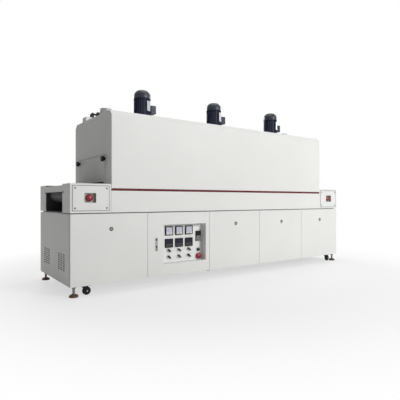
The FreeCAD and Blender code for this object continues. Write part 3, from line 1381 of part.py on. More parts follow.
def panel_instruments():
    pieces = []
    for name, x, z, width, height in instrument_places():
        body = new_body(name)
        front = sketch_on(body, "XZ_Plane", "plate_face")
        rectangle(front, f"{x} - {width} / 2", f"{z} - {height} / 2", f"{x} + {width} / 2",
                  f"{z} + {height} / 2")
        pad(body, front, "instrument_bezel")
        case = sketch_on(body, "XZ_Plane", "plate_face")
        rectangle(case, f"{x} - {width} / 2 + instrument_lap", f"{z} - {height} / 2 + instrument_lap",
                  f"{x} + {width} / 2 - instrument_lap", f"{z} + {height} / 2 - instrument_lap")
        pad(body, case, "instrument_case", reverse=True)
        pieces.append(body)
    return group("panel_instruments", pieces)


def rotary_switch(number, x, z):
    """A rotary switch: round base, bar handle set at a slant, spindle through the plate."""
    body = revolve(f"rotary_switch_{number}", (
        ("0", "-spindle_length"), ("spindle_radius", "-spindle_length"), ("spindle_radius", "running_gap"),
        ("switch_radius", "running_gap"), ("switch_radius", "running_gap + switch_base"),
        ("0", "running_gap + switch_base")))
    handle = sketch_on(body, "XY_Plane", "running_gap + switch_base")
    tip, side = "switch_handle / 2", "switch_handle_width / 2"
    outline(handle, ((f"-({side})", f"{side} - {tip}", f"1.2 * {side}", "left"), (side, f"{side} - {tip}"),
                     (side, f"{tip} - {side}"), ("0", tip), (f"-({side})", f"{tip} - {side}")))
    pad(body, handle, "switch_handle_height")
    slant = Rotation(Vector(0, 0, 1), 225)
    return place(body, (x, "-plate_face", z), TOWARDS_FRONT.multiply(slant))


def speed_dial():
    skirt = "dial_height / 4"
    body = revolve("speed_dial", (
        ("0", "-spindle_length"), ("spindle_radius", "-spindle_length"), ("spindle_radius", "running_gap"),
        ("dial_radius", "running_gap"), ("dial_radius", skirt), ("dial_radius * 0.8", skirt),
        ("dial_radius * 0.7", "dial_height"), ("0", "dial_height")))
    return place(body, ("speed_x", "-plate_face", "window_bottom + dial_rise"), TOWARDS_FRONT)


def switchgear():
    """The plate of contactors, relays and belt drive behind the control door."""
    left = f"-half_len + {CONTROL_BAY} * bay - rail_size / 2"
    foot = "floor_gap + rail_size"
    plate = box("switchgear_plate", ("bay + rail_size", "sheet", "device_plate_rise"), (left, "0", foot))
    pieces = [plate]
    widths = {"inverter": "0.2 * bay", "contactor_a": "0.08 * bay", "contactor_b": "0.08 * bay",
              "relay_row": "0.25 * bay"}
    start = f"{left} + 0.1 * bay"
    for name, width in widths.items():
        pieces.append(box(name, (width, "device_depth", "device_plate_rise * 0.4"),
                          (start, "-device_depth", f"{foot} + device_plate_rise * 0.45")))
        start = f"{start} + {width} + 0.05 * bay"
    pieces.append(box("terminal_rail", ("0.8 * bay", "device_depth / 2", "device_plate_rise * 0.12"),
                      (f"{left} + 0.1 * bay", "-device_depth / 2", f"{foot} + device_plate_rise * 0.15")))
    return group("switchgear", pieces)


def build():
    """Every sub-part of the oven, one document object per node."""
    nodes = [base_frame(), base_panels(), bed_skirts(), bed_trough(), belt_supports(), end_blocks(),
             end_covers(), group("levelling_feet", [levelling_foot(corner) for corner in CORNERS]),
             group("drum_bearings", [drum_bearing(corner) for corner in CORNERS]), mesh_belt(),
             drive_gearmotor(), lower_heaters(), hood_seal(), lower_hinges(), switchgear(),
             flexible_conduits()]
    nodes += [hood_shell(), hood_ends(), nozzle_liner(), upper_heaters(), upper_hinges(), cable_trunking(),
              exhaust_spigots(), signal_lamp()]
    for number, (x, y) in enumerate(motor_places(), 1):
        nodes += [blower_motor(number, x, y), blower_wheel(number, x, y)]
    drive_end = "bearing_end + gearbox_width"
    nodes += [drum("inlet_drum", "inlet_axis", "bearing_end"), drum("outlet_drum", "outlet_axis", drive_end)]
    nodes += [tunnel_gate(along) for along in SIDES]
    nodes += [gate_knob(corner) for corner in CORNERS]
    nodes += [control_door(), door_latch(), instrument_plate(), panel_instruments(), speed_dial()]
    nodes += [rotary_switch(number, x, z) for number, (x, z) in enumerate(switch_places(), 1)]
    nodes += [mushroom_button(f"stop_button_{END_NAMES[along]}", stop_x(along), "half_dep - stop_recess",
                              "stop_z") for along in SIDES]
    nodes.append(mushroom_button("main_stop_button", "speed_x", "plate_face",
                                 "window_bottom + main_stop_rise"))
    for corner in CORNERS:
        nodes += [castor_fork(corner), castor_wheel(corner)]
    return nodes


def check(nodes):
    """Stops on a failed object, a cut that removes nothing, or a node without sound solids."""
    for thing in doc.Objects:
        if "Invalid" in thing.State or "Error" in thing.State:
            raise RuntimeError(f"{thing.Name} failed: {thing.State}")
        is_pocket = thing.isDerivedFrom("PartDesign::Pocket")
        if is_pocket and thing.Shape.Volume >= thing.BaseFeature.Shape.Volume:
            raise RuntimeError(f"{thing.Name} removes nothing")
    for node in nodes:
        shape = node.Shape
        if shape.isNull() or not shape.isValid() or not shape.Solids:
            raise RuntimeError(f"{node.Label} has no sound solid")


fill_sheet()
all_nodes = build()
doc.recompute()
check(all_nodes)
os.makedirs("parts", exist_ok=True)
to_middle = Vector(0, -value("mid_depth"), 0)
for item in all_nodes:
    shape = item.Shape.copy()
    shape.translate(to_middle)
    shape.exportStep(f"parts/{item.Label}.step")
    print(f"{item.Label}: {len(shape.Solids)} solids, {shape.Volume / 1000:.0f} cm3")
print(f"{len(all_nodes)} nodes")
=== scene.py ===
import math

import bmesh
import bpy
from mathutils import Matrix, Vector


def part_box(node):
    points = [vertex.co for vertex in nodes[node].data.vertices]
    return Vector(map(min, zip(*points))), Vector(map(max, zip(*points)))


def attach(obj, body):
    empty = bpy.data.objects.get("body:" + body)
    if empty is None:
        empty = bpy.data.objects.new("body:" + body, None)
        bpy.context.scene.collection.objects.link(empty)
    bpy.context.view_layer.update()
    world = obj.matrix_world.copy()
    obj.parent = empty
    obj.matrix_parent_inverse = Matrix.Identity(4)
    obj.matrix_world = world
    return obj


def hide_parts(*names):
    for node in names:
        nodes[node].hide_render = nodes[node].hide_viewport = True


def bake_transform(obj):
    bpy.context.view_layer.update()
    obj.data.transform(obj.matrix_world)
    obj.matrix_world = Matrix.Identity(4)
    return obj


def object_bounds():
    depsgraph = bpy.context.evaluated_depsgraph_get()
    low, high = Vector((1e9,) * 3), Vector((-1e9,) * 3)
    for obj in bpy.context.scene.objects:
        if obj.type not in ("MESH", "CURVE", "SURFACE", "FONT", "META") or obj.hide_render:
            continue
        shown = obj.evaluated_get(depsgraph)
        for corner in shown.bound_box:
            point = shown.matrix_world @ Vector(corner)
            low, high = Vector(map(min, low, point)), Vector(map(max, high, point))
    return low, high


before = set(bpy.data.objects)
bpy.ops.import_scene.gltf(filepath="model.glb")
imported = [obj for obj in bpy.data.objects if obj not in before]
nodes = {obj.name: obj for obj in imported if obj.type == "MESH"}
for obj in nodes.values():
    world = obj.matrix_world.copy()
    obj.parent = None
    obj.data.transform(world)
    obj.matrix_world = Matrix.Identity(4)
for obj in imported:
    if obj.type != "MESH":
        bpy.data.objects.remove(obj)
cad_low, cad_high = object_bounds()
scene = bpy.context.scene
scene.view_settings.view_transform = "Standard"

# Places and sizes on the oven in metres, in the CAD frame
hood_low, hood_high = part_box("hood_shell")
FRONT_Y, BACK_Y, ROOF_Z = hood_low.y, hood_high.y, hood_high.z
MIDDLE_Y = (FRONT_Y + BACK_Y) / 2
SEAM_Z = hood_low.z - 0.005
HINGE_X = (-1.053, 0.0, 1.053)
MOTOR_X = (-0.78, 0.0, 0.78)
MOTOR_Y = MIDDLE_Y - 0.08
WINDOW_LEFT, WINDOW_BOTTOM = -0.756, 0.169
PLATE_Y = FRONT_Y + 0.060
STOP_X, STOP_Z, STOP_Y = 1.357, 0.697, FRONT_Y + 0.027
METER_X = tuple(WINDOW_LEFT + 0.082 + 0.098 * column for column in range(3))
METER_Z = WINDOW_BOTTOM + 0.259
CONTROLLER_Z = WINDOW_BOTTOM + 0.158
SWITCH_Z = (WINDOW_BOTTOM + 0.097, WINDOW_BOTTOM + 0.044)
SPEED_X = WINDOW_LEFT + 0.376
SPEED_Z, DIAL_Z, MAIN_STOP_Z = WINDOW_BOTTOM + 0.203, WINDOW_BOTTOM + 0.086, WINDOW_BOTTOM + 0.032
INSTRUMENT_FACE = PLATE_Y - 0.009
CASE_HALF = 0.036
DRUM_Z, WRAP = 0.7287, 0.0633
INLET_X, OUTLET_X = -1.410, 1.418
BLOCK_START, CHEEK_INNER, CHEEK_TOP = 1.2, 0.2255, 0.7995
INLET_END = cad_low.x + 0.0005
HOOD_END = hood_high.x
SPIGOT_X = 1.075
LAMP_X = -1.075
LAMP_BANDS = ((0.0755, 0.1205), (0.1205, 0.1335), (0.1335, 0.1785))
VENT_Y, VENT_Z = 0.200, 0.170
LOCK_Z, BAY = 0.470, 0.6


# Materials


def colour(rgb):
    return (*rgb, 1.0)


class Shader:
    """A small helper that builds one node material."""

    def __init__(self, name, rgb, roughness=0.5, metallic=0.0):
        self.material = bpy.data.materials.new(name)
        self.material.use_nodes = True
        self.tree = self.material.node_tree
        self.bsdf = self.tree.nodes["Principled BSDF"]
        self.bsdf.inputs["Base Color"].default_value = colour(rgb)
        self.bsdf.inputs["Roughness"].default_value = roughness
        self.bsdf.inputs["Metallic"].default_value = metallic
        self.rgb = rgb
        self.place = self.tree.nodes.new("ShaderNodeTexCoord").outputs["Object"]

    def node(self, kind, **inputs):
        made = self.tree.nodes.new(kind)
        for name, value in inputs.items():
            made.inputs[name.replace("_", " ")].default_value = value
        return made

    def link(self, output, socket):
        self.tree.links.new(output, socket)

    def stretched(self, scale):
        mapping = self.node("ShaderNodeMapping")
        mapping.inputs["Scale"].default_value = scale
        self.link(self.place, mapping.inputs["Vector"])
        return mapping.outputs["Vector"]

    def noise(self, scale, detail=3.0, stretch=None):
        made = self.node("ShaderNodeTexNoise", Scale=scale, Detail=detail)
        self.link(self.stretched(stretch) if stretch else self.place, made.inputs["Vector"])
        return made.outputs["Fac"]

    def ramp(self, value, stops):
        made = self.tree.nodes.new("ShaderNodeValToRGB")
        ramp = made.color_ramp
        while len(ramp.elements) < len(stops):
            ramp.elements.new(0.5)
        for element, (position, rgb) in zip(ramp.elements, stops):
            element.position = position
            element.color = colour(rgb)
        self.link(value, made.inputs["Fac"])
        return made.outputs["Color"]

    def tint(self, value, spread, low=0.3, high=0.7):
        """Base colour that drifts a little with the value."""
        dark = tuple(c * (1 - spread) for c in self.rgb)
        light = tuple(min(c * (1 + spread), 1.0) for c in self.rgb)
        self.link(self.ramp(value, ((low, dark), (high, light))), self.bsdf.inputs["Base Color"])

    def rough(self, value, low, high):
        made = self.node("ShaderNodeMapRange", To_Min=low, To_Max=high)
        self.link(value, made.inputs["Value"])
        self.link(made.outputs["Result"], self.bsdf.inputs["Roughness"])

    def bump(self, height, strength, distance):
        made = self.node("ShaderNodeBump", Strength=strength, Distance=distance)
        self.link(height, made.inputs["Height"])
        self.link(made.outputs["Normal"], self.bsdf.inputs["Normal"])

    def mixed(self, first, second):
        """Half of each colour. A mix node keeps its colour sockets at 6, 7 and 2."""
        made = self.tree.nodes.new("ShaderNodeMix")
        made.data_type = "RGBA"
        made.inputs["Factor"].default_value = 0.5
        self.link(first, made.inputs[6])
        self.link(second, made.inputs[7])
        return made.outputs[2]


def powder_coat(name, rgb, roughness=0.50):
    """Baked powder paint: a faint drift of tone, fine orange peel, slightly uneven gloss."""
    made = Shader(name, rgb, roughness)
    made.tint(made.noise(1.6, 4.0), 0.025)
    made.rough(made.noise(14.0), roughness - 0.06, roughness + 0.06)
    made.bump(made.noise(700.0, 2.0), 0.06, 0.0006)
    made.bsdf.inputs["Specular IOR Level"].default_value = 0.30
    return made.material


def brushed(name, rgb, roughness=0.34, grain=(6.0, 220.0, 220.0)):
    """Steel with fine straight grain."""
    made = Shader(name, rgb, roughness, 1.0)
    lines = made.noise(6.0, 5.0, grain)
    made.tint(lines, 0.10)
    made.rough(lines, roughness - 0.08, roughness + 0.10)
    made.bump(lines, 0.08, 0.0003)
    return made.material


def galvanised(name, rgb, roughness=0.42):
    """Zinc-coated sheet with faint spangle."""
    made = Shader(name, rgb, roughness, 0.45)
    cells = made.node("ShaderNodeTexVoronoi", Scale=70.0)
    made.link(made.place, cells.inputs["Vector"])
    made.tint(cells.outputs["Color"], 0.09, 0.1, 0.9)
    made.rough(cells.outputs["Distance"], roughness - 0.06, roughness + 0.14)
    return made.material


def heat_stained(name, rgb, roughness=0.45):
    """Oven steel with straw and brown heat tint."""
    made = Shader(name, rgb, roughness, 0.4)
    cloud = made.noise(3.2, 5.0)
    warm = (rgb[0] * 0.92, rgb[1] * 0.76, rgb[2] * 0.58)
    dull = tuple(c * 0.7 for c in rgb)
    stain = made.ramp(cloud, ((0.25, dull), (0.5, rgb), (0.75, warm)))
    made.link(stain, made.bsdf.inputs["Base Color"])
    made.rough(made.noise(40.0), roughness - 0.1, roughness + 0.15)
    made.bump(made.noise(240.0), 0.05, 0.0004)
    return made.material


def moulded(name, rgb, roughness=0.5, grain=900.0, gloss=0.5):
    """Moulded plastic or rubber with a fine texture."""
    made = Shader(name, rgb, roughness)
    made.bsdf.inputs["Specular IOR Level"].default_value = gloss
    made.tint(made.noise(30.0), 0.08)
    made.rough(made.noise(60.0), roughness - 0.07, roughness + 0.07)
    made.bump(made.noise(grain, 2.0), 0.10, 0.0003)
    return made.material


def enamel(name, rgb, roughness=0.38):
    """Sprayed machine enamel: a random drift of tone, uneven gloss and a fine bump."""
    made = Shader(name, rgb, roughness)
    made.tint(made.noise(9.0, 5.0), 0.22)
    made.rough(made.noise(25.0), roughness - 0.1, roughness + 0.16)
    made.bump(made.noise(320.0), 0.14, 0.0006)
    made.bsdf.inputs["Specular IOR Level"].default_value = 0.32
    return made.material


def woven_belt(name, rgb):
    """Stainless wire mesh: bright spiral wires across darker gaps."""
    made = Shader(name, rgb, 0.60)
    made.bsdf.inputs["Specular IOR Level"].default_value = 0.22
    across = made.node("ShaderNodeTexWave", Scale=26.0, Distortion=0.4, Detail=1.0)
    made.link(made.stretched((1.0, 0.35, 1.0)), across.inputs["Vector"])
    along = made.node("ShaderNodeTexWave", Scale=30.0, Distortion=0.3, Detail=1.0)
    along.bands_direction = "Y"
    made.link(made.place, along.inputs["Vector"])
    weave = made.mixed(across.outputs["Color"], along.outputs["Color"])
    dark = tuple(c * 0.28 for c in rgb)
    made.link(made.ramp(weave, ((0.25, dark), (0.6, rgb))), made.bsdf.inputs["Base Color"])
    made.rough(made.noise(50.0), 0.50, 0.68)
    made.bump(weave, 0.5, 0.0015)
    return made.material


def lens(name, rgb):
    """Ribbed coloured lens of a signal lamp."""
    made = Shader(name, rgb, 0.16)
    ribs = made.node("ShaderNodeTexWave", Scale=70.0)
    ribs.bands_direction = "Y"
    made.link(made.place, ribs.inputs["Vector"])
    made.tint(made.noise(22.0), 0.10)
    made.bump(ribs.outputs["Fac"], 0.25, 0.0008)
    made.bsdf.inputs["Coat Weight"].default_value = 0.6
    return made.material


WHITE = powder_coat("off_white_powder_coat", (0.745, 0.745, 0.725))
INNER_WHITE = powder_coat("instrument_plate_coat", (0.80, 0.80, 0.79), 0.5)
FRAME_GREY = powder_coat("frame_grey_coat", (0.27, 0.28, 0.29), 0.5)
# Painted shade: mid grey for the inside of the recessed stop cups
STOP_CUP_PAINTED_SHADE = powder_coat("stop_cup_painted_shade", (0.44, 0.44, 0.42), 0.55)
# Painted shade: near black for the inside of the inlet block, which lies in shade
INLET_PAINTED_SHADE = moulded("inlet_painted_shade", (0.050, 0.051, 0.056), 0.6, 900.0, 0.15)
OVEN_STEEL = heat_stained("heat_stained_steel", (0.42, 0.41, 0.39))
MESH = woven_belt("woven_mesh", (0.25, 0.23, 0.215))
# Painted shade: a darker copy of the mesh for the belt under the inlet's cross plate
MESH_PAINTED_SHADE = woven_belt("woven_mesh_in_painted_shade", (0.085, 0.082, 0.082))
SEAL_RED = moulded("seal_dark_red", (0.12, 0.010, 0.015), 0.6, 900.0, 0.2)
HINGE_STEEL = heat_stained("hinge_brown_steel", (0.185, 0.155, 0.145), 0.60)
BRIGHT_STEEL = brushed("bright_steel", (0.62, 0.62, 0.61), 0.28)
NAVY = enamel("motor_navy_enamel", (0.011, 0.017, 0.042), 0.46)
COWL_GREY = enamel("cowl_charcoal_enamel", (0.021, 0.025, 0.040), 0.36)
ZINC = galvanised("zinc_sheet", (0.33, 0.335, 0.335))
# Painted shade: near black sheets that make the vent slots read as dark openings
VENT_PAINTED_SHADE = moulded("vent_slot_painted_shade", (0.030, 0.030, 0.032), 0.8, 350.0, 0.1)
SHEATH = moulded("conduit_sheath", (0.010, 0.010, 0.011), 0.5, 500.0, 0.2)
BLACK = moulded("black_moulding", (0.010, 0.010, 0.013), 0.46, 900.0, 0.15)
# Painted shade: grey strips that stand for the shadow gap round the end block covers
COVER_GAP_SHADE = moulded("cover_gap_painted_shade", (0.15, 0.15, 0.155), 0.6)
DULL_STEEL = moulded("dull_plated_steel", (0.20, 0.185, 0.17), 0.4)
SCREW_STEEL = moulded("dark_screw_heads", (0.16, 0.16, 0.165), 0.4)
PLATE_GREY = moulded("blank_plate_grey", (0.46, 0.48, 0.51), 0.4)
SOFT_BLACK = moulded("soft_black_moulding", (0.014, 0.014, 0.017), 0.6, 900.0, 0.15)
STOP_RED = moulded("stop_red_gloss", (0.27, 0.010, 0.020), 0.3)
FOOT_BROWN = enamel("foot_brown_primer", (0.11, 0.062, 0.042), 0.6)
LAVENDER = moulded("meter_card", (0.50, 0.50, 0.60), 0.5)
PALE_PRINT = moulded("pale_print", (0.62, 0.64, 0.62), 0.5)
# Dark print, and painted shade for screw recesses, key slots and the tension screw holes
DARK_PRINT_AND_SHADE = moulded("dark_print_and_painted_shade", (0.018, 0.018, 0.024), 0.6, 900.0, 0.15)
KEY_GREY = moulded("grey_keys", (0.27, 0.272, 0.28), 0.5, 900.0, 0.25)
# Painted reflection: the grey of the controllers' lower field
KEY_FIELD_REFLECTION = moulded("key_field_painted_reflection", (0.125, 0.125, 0.135), 0.5, 900.0, 0.15)
DISPLAY_NAVY = moulded("display_navy", (0.011, 0.011, 0.028), 0.4, 900.0, 0.2)
LATCH_GREY = moulded("latch_grey", (0.38, 0.38, 0.38), 0.45)
LENS_GREEN = lens("lens_green", (0.020, 0.26, 0.075))
LENS_RED = lens("lens_red", (0.36, 0.012, 0.016))
LENS_CLEAR = lens("lens_clear", (0.55, 0.52, 0.44))
UNLIT_RED = moulded("unlit_red_bars", (0.050, 0.010, 0.012), 0.4, 900.0, 0.15)
UNLIT_GREEN = moulded("unlit_green_bars", (0.014, 0.034, 0.018), 0.4, 900.0, 0.15)
BARREL_STEEL = brushed("turned_drum_steel", (0.30, 0.30, 0.29), 0.4, (220.0, 6.0, 220.0))
HEATER = heat_stained("heater_sheath", (0.20, 0.18, 0.165), 0.55)
DEVICE_GREY = moulded("device_grey", (0.10, 0.11, 0.12), 0.5)

NODE_LOOKS = {
    "base_frame": FRAME_GREY, "base_panels": WHITE, "levelling_feet": FOOT_BROWN,
    "bed_skirts": WHITE, "bed_trough": OVEN_STEEL, "belt_supports": OVEN_STEEL,
    "end_blocks": WHITE, "end_covers": WHITE, "mesh_belt": MESH,
    "drum_bearings": FRAME_GREY, "drive_gearmotor": NAVY, "lower_heaters": HEATER, "hood_seal": SEAL_RED,
    "hinge_base_leaves": HINGE_STEEL, "hinge_hood_leaves": HINGE_STEEL, "switchgear": DEVICE_GREY,
    "flexible_conduits": SHEATH, "hood_shell": WHITE, "hood_end_plates": WHITE, "nozzle_liner": OVEN_STEEL,
    "upper_heaters": HEATER, "cable_trunking": WHITE, "exhaust_spigots": ZINC, "signal_lamp": BLACK,
    "inlet_drum": BARREL_STEEL, "outlet_drum": BARREL_STEEL, "inlet_gate": WHITE, "outlet_gate": WHITE,
    "control_door": WHITE, "door_latch": LATCH_GREY, "instrument_plate": INNER_WHITE,
    "panel_instruments": BLACK, "speed_dial": BLACK, "main_stop_button": STOP_RED,
    "stop_button_inlet": STOP_RED, "stop_button_outlet": STOP_RED,
}
NODE_FAMILIES = {
    "blower_motor_": NAVY, "blower_wheel_": ZINC, "gate_knob_": BLACK, "rotary_switch_": BLACK,
    "castor_fork_": BLACK, "castor_wheel_": SOFT_BLACK,
}


def dress(node, *materials):
    """Gives a CAD node its materials; the first one covers it all until faces are repainted."""
    mesh = nodes[node].data
    mesh.materials.clear()
    for material in materials:
        mesh.materials.append(material)
    for polygon in mesh.polygons:
        polygon.material_index = 0


def repaint(node, index, inside):
    """Puts one of a node's materials on the faces whose centre passes the test."""
    for polygon in nodes[node].data.polygons:
        if inside(polygon.center):
            polygon.material_index = index


for node in nodes:
    family = next((look for start, look in NODE_FAMILIES.items() if node.startswith(start)), None)
    dress(node, NODE_LOOKS.get(node, family))

# Where one material ends and another begins on a node
FOOT_TOP = 0.0225
STOP_CUP_HALF, COVER_SHEET = 0.046, 0.0022
TRUNK_TOP, GLAND_FOOT = ROOF_Z + 0.0685, BACK_Y - 0.0375
LATCH_EDGE, LATCH_TOP_EDGE = 0.0045, 0.0060
STUD_X = 1.1975
COWL_FOOT = ROOF_Z + 0.1965
SWITCH_BASE = 0.0058

# Second materials: foot stems, painted shade in the stop cups, lamp bracket, glands, lock rims,
# painted shade inside the inlet and on its belt, latch well, studs, lamp lenses, fan cowls and switch bases
dress("levelling_feet", FOOT_BROWN, DULL_STEEL)
repaint("levelling_feet", 1, lambda at: at.z > FOOT_TOP)
# Painted shade: the inside of each stop cup is grey for the shade in the recess
dress("end_covers", WHITE, STOP_CUP_PAINTED_SHADE)
repaint("end_covers", 1, lambda at: FRONT_Y + COVER_SHEET < at.y < MIDDLE_Y
        and abs(abs(at.x) - STOP_X) < STOP_CUP_HALF)
dress("cable_trunking", WHITE, BLACK)
repaint("cable_trunking", 1, lambda at: at.z > TRUNK_TOP or at.y > GLAND_FOOT)
dress("bed_skirts", WHITE, BLACK)
repaint("bed_skirts", 1, lambda at: at.y > BACK_Y + 0.0005)
dress("base_panels", WHITE, BRIGHT_STEEL)
repaint("base_panels", 1, lambda at: at.y > BACK_Y + 0.0003 or at.y < FRONT_Y - 0.0003)
# Painted shade: the cheeks' inner faces and the deck inside the inlet block are near black for the shade there
dress("end_blocks", WHITE, INLET_PAINTED_SHADE)
repaint("end_blocks", 1, lambda at: INLET_END < at.x < -BLOCK_START
        and abs(at.y - MIDDLE_Y) < CHEEK_INNER and at.z < CHEEK_TOP)


def in_painted_shade(at):
    """Whether a place on the belt lies under the cross plate at the inlet, where the mesh is painted dark for
    shade.
    """
    return at.x < INLET_X - 0.012 and at.z < DRUM_Z + 0.055


# Painted shade: the belt's wrap under the inlet's cross plate takes the darker mesh
dress("mesh_belt", MESH, MESH_PAINTED_SHADE)
repaint("mesh_belt", 1, in_painted_shade)
dress("control_door", WHITE, LATCH_GREY)
latch_low, latch_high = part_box("door_latch")
repaint("control_door", 1, lambda at: latch_low.x - LATCH_EDGE < at.x < latch_high.x + LATCH_EDGE
        and latch_low.z - LATCH_EDGE < at.z < latch_high.z + LATCH_TOP_EDGE and at.y > FRONT_Y + 0.0002)
dress("hood_end_plates", WHITE, BRIGHT_STEEL)
repaint("hood_end_plates", 1, lambda at: abs(at.x) > STUD_X)
dress("signal_lamp", BLACK, LENS_GREEN, LENS_CLEAR, LENS_RED)
for index, (start, end) in enumerate(LAMP_BANDS, 1):
    repaint("signal_lamp", index, lambda at: LAMP_X + start < at.x < LAMP_X + end)
for number in (1, 2, 3):
    dress(f"blower_motor_{number}", NAVY, COWL_GREY)
    repaint(f"blower_motor_{number}", 1, lambda at: at.z > COWL_FOOT)
for number in range(1, 7):
    dress(f"rotary_switch_{number}", BLACK, BRIGHT_STEEL)
    repaint(f"rotary_switch_{number}", 1, lambda at: at.y > PLATE_Y - SWITCH_BASE)

# Folded sheet and machined edges catch the light
for node in nodes:
    if node in ("flexible_conduits", "mesh_belt", "switchgear", "base_frame"):
        continue
    weld = nodes[node].modifiers.new("weld", "WELD")
    weld.merge_threshold = 0.00001
    bevel = nodes[node].modifiers.new("edge", "BEVEL")
    bevel.width = 0.0007
    bevel.segments = 2
    bevel.limit_method = "ANGLE"
    bevel.angle_limit = math.radians(50)


# Building new pieces


class Piece:
    """One mesh piece gathered from several small forms, each with its own material."""

    def __init__(self, name, *materials):
        self.name = name
        self.materials = materials
        self.bm = bmesh.new()

    def take(self, made, index, smooth=False):
        for face in {face for vert in made for face in vert.link_faces}:
            face.material_index = index
            face.smooth = smooth

    def box(self, low, high, index=0, turn=None):
        """A block between two corners, turned about its own middle."""
        low, high = Vector(low), Vector(high)
        at = Matrix.Translation((low + high) / 2)
        if turn is not None:
            at = at @ turn
        size = Matrix.Diagonal((*(high - low), 1.0))
        self.take(bmesh.ops.create_cube(self.bm, size=1.0, matrix=at @ size)["verts"], index)

    def bar(self, middle, half, angle, index=0):
        """A flat bar on an upright plate that faces the front, turned by an angle in that plate."""
        self.box(middle - half, middle + half, index, Matrix.Rotation(-angle, 4, "Y"))

    def cone(self, foot, direction, low_radius, high_radius, height, index=0, sides=20, smooth=True):
        """A cone or cylinder that stands on its foot."""
        turn = Vector((0, 0, 1)).rotation_difference(Vector(direction)).to_matrix().to_4x4()
        middle = Vector(foot) + Vector(direction).normalized() * height / 2
        made = bmesh.ops.create_cone(self.bm, cap_ends=True, segments=sides, radius1=low_radius,
                                     radius2=high_radius, depth=height,
                                     matrix=Matrix.Translation(middle) @ turn)
        self.take(made["verts"], index, smooth)

    def screw(self, at, direction, radius, index=0, slot=1):
        """A pan-head screw whose crossed recess is two dark bars on the head, painted shade."""
        at, direction = Vector(at), Vector(direction).normalized()
        self.cone(at, direction, radius, radius * 0.96, radius * 0.30, index, 16)
        shoulder = at + direction * radius * 0.30
        self.cone(shoulder, direction, radius * 0.96, radius * 0.62, radius * 0.22, index, 16)
        top = at + direction * radius * 0.50
        turn = Vector((0, 0, 1)).rotation_difference(direction).to_matrix().to_4x4()
        for quarter in (0.4, 0.4 + math.pi / 2):
            size = Matrix.Diagonal((radius * 1.0, radius * 0.2, radius * 0.1, 1.0))
            made = bmesh.ops.create_cube(self.bm, size=1.0, matrix=Matrix.Translation(top) @ turn
                                         @ Matrix.Rotation(quarter, 4, "Z") @ size)
            self.take(made["verts"], slot)

    def bolt(self, at, direction, radius, index=0):
        """A hexagon bolt head on its washer."""
        at, direction = Vector(at), Vector(direction).normalized()
        self.cone(at, direction, radius * 1.25, radius * 1.25, radius * 0.2, index, 20)
        washer = at + direction * radius * 0.2
        self.cone(washer, direction, radius, radius * 0.94, radius * 0.75, index, 6, False)

    def ring(self, foot, direction, inner, outer, height, index=0, sides=32):
        """A flat ring with square edges."""
        turn = Vector((0, 0, 1)).rotation_difference(Vector(direction)).to_matrix().to_4x4()
        at = Matrix.Translation(Vector(foot)) @ turn
        loops = []
        for radius, level in ((inner, 0), (outer, 0), (outer, height), (inner, height)):
            loops.append([self.bm.verts.new(at @ Vector((radius * math.cos(a), radius * math.sin(a), level)))
                          for a in (2 * math.pi * step / sides for step in range(sides))])
        for first, second in zip(loops, loops[1:] + loops[:1]):
            for step in range(sides):
                after = (step + 1) % sides
                face = self.bm.faces.new((first[step], first[after], second[after], second[step]))
                face.material_index = index
                face.smooth = False

    def place(self, body, slot):
        """Turns the forms into one object that rides a body."""
        bmesh.ops.recalc_face_normals(self.bm, faces=self.bm.faces)
        mesh = bpy.data.meshes.new(self.name)
        self.bm.to_mesh(mesh)
        self.bm.free()
        for material in self.materials:
            mesh.materials.append(material)
        made = bpy.data.objects.new(self.name, mesh)
        scene.collection.objects.link(made)
        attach(made, body)


def around(angle):
    """The direction at an angle round an upright axis."""
    return Vector((math.cos(angle), math.sin(angle), 0))


def spoke(angle):
    """The direction at an angle in an upright plate that faces the front."""
    return Vector((math.cos(angle), 0, math.sin(angle)))


FRONT = Vector((0, -1, 0))
BACK = Vector((0, 1, 0))
UP = Vector((0, 0, 1))
SIDES = ((FRONT_Y, FRONT), (BACK_Y, BACK))

# Screws in the corners of the end block covers; collars and screws in the stop cups
screws = Piece("cover_screws", SCREW_STEEL, DARK_PRINT_AND_SHADE)
COVER_X, COVER_Z, COVER_SUNK, COVER_HEAD = (1.234, 1.466), (0.624, 0.766), 0.0006, 0.0065
COLLAR_HIGH = 0.00015
CUP_SCREW_X, CUP_SCREW_Z, CUP_HEAD = 0.036, 0.027, 0.0030
for face, direction in SIDES:
    for along in (-1, 1):
        for x in COVER_X:
            for z in COVER_Z:
                screws.screw((along * x, face - direction.y * COVER_SUNK, z), direction, COVER_HEAD)
for along in (-1, 1):
    screws.ring((along * STOP_X, STOP_Y, STOP_Z), FRONT, 0.0117, 0.0195, COLLAR_HIGH)
    for shift in (-1, 1):
        at = (along * STOP_X + shift * CUP_SCREW_X, STOP_Y, STOP_Z + shift * CUP_SCREW_Z)
        screws.screw(at, FRONT, CUP_HEAD)
screws.place("base", "hinge_steel")

# Dark strips round the end block covers, painted shade for the shadow gap round each cover
gap_shade = Piece("cover_gap_shade_strips", COVER_GAP_SHADE)
GAP_SHADE_X, GAP_SHADE_Z, GAP_SHADE_WIDE, GAP_SHADE_DEEP = (1.214, 1.486), (0.604, 0.786), 0.0035, 0.0016
for face, direction in SIDES:
    near, far = sorted((face, face - direction.y * GAP_SHADE_DEEP))
    for along in (-1, 1):
        left, right = sorted(along * x for x in GAP_SHADE_X)
        low, high = GAP_SHADE_Z
        gap_shade.box((left, near, low), (left + GAP_SHADE_WIDE, far, high))
        gap_shade.box((right - GAP_SHADE_WIDE, near, low), (right, far, high))
        gap_shade.box((left + GAP_SHADE_WIDE, near, low), (right - GAP_SHADE_WIDE, far, low + GAP_SHADE_WIDE))
        gap_shade.box((left + GAP_SHADE_WIDE, near, high - GAP_SHADE_WIDE), (right - GAP_SHADE_WIDE, far, high))
gap_shade.place("base", "black_plastic")

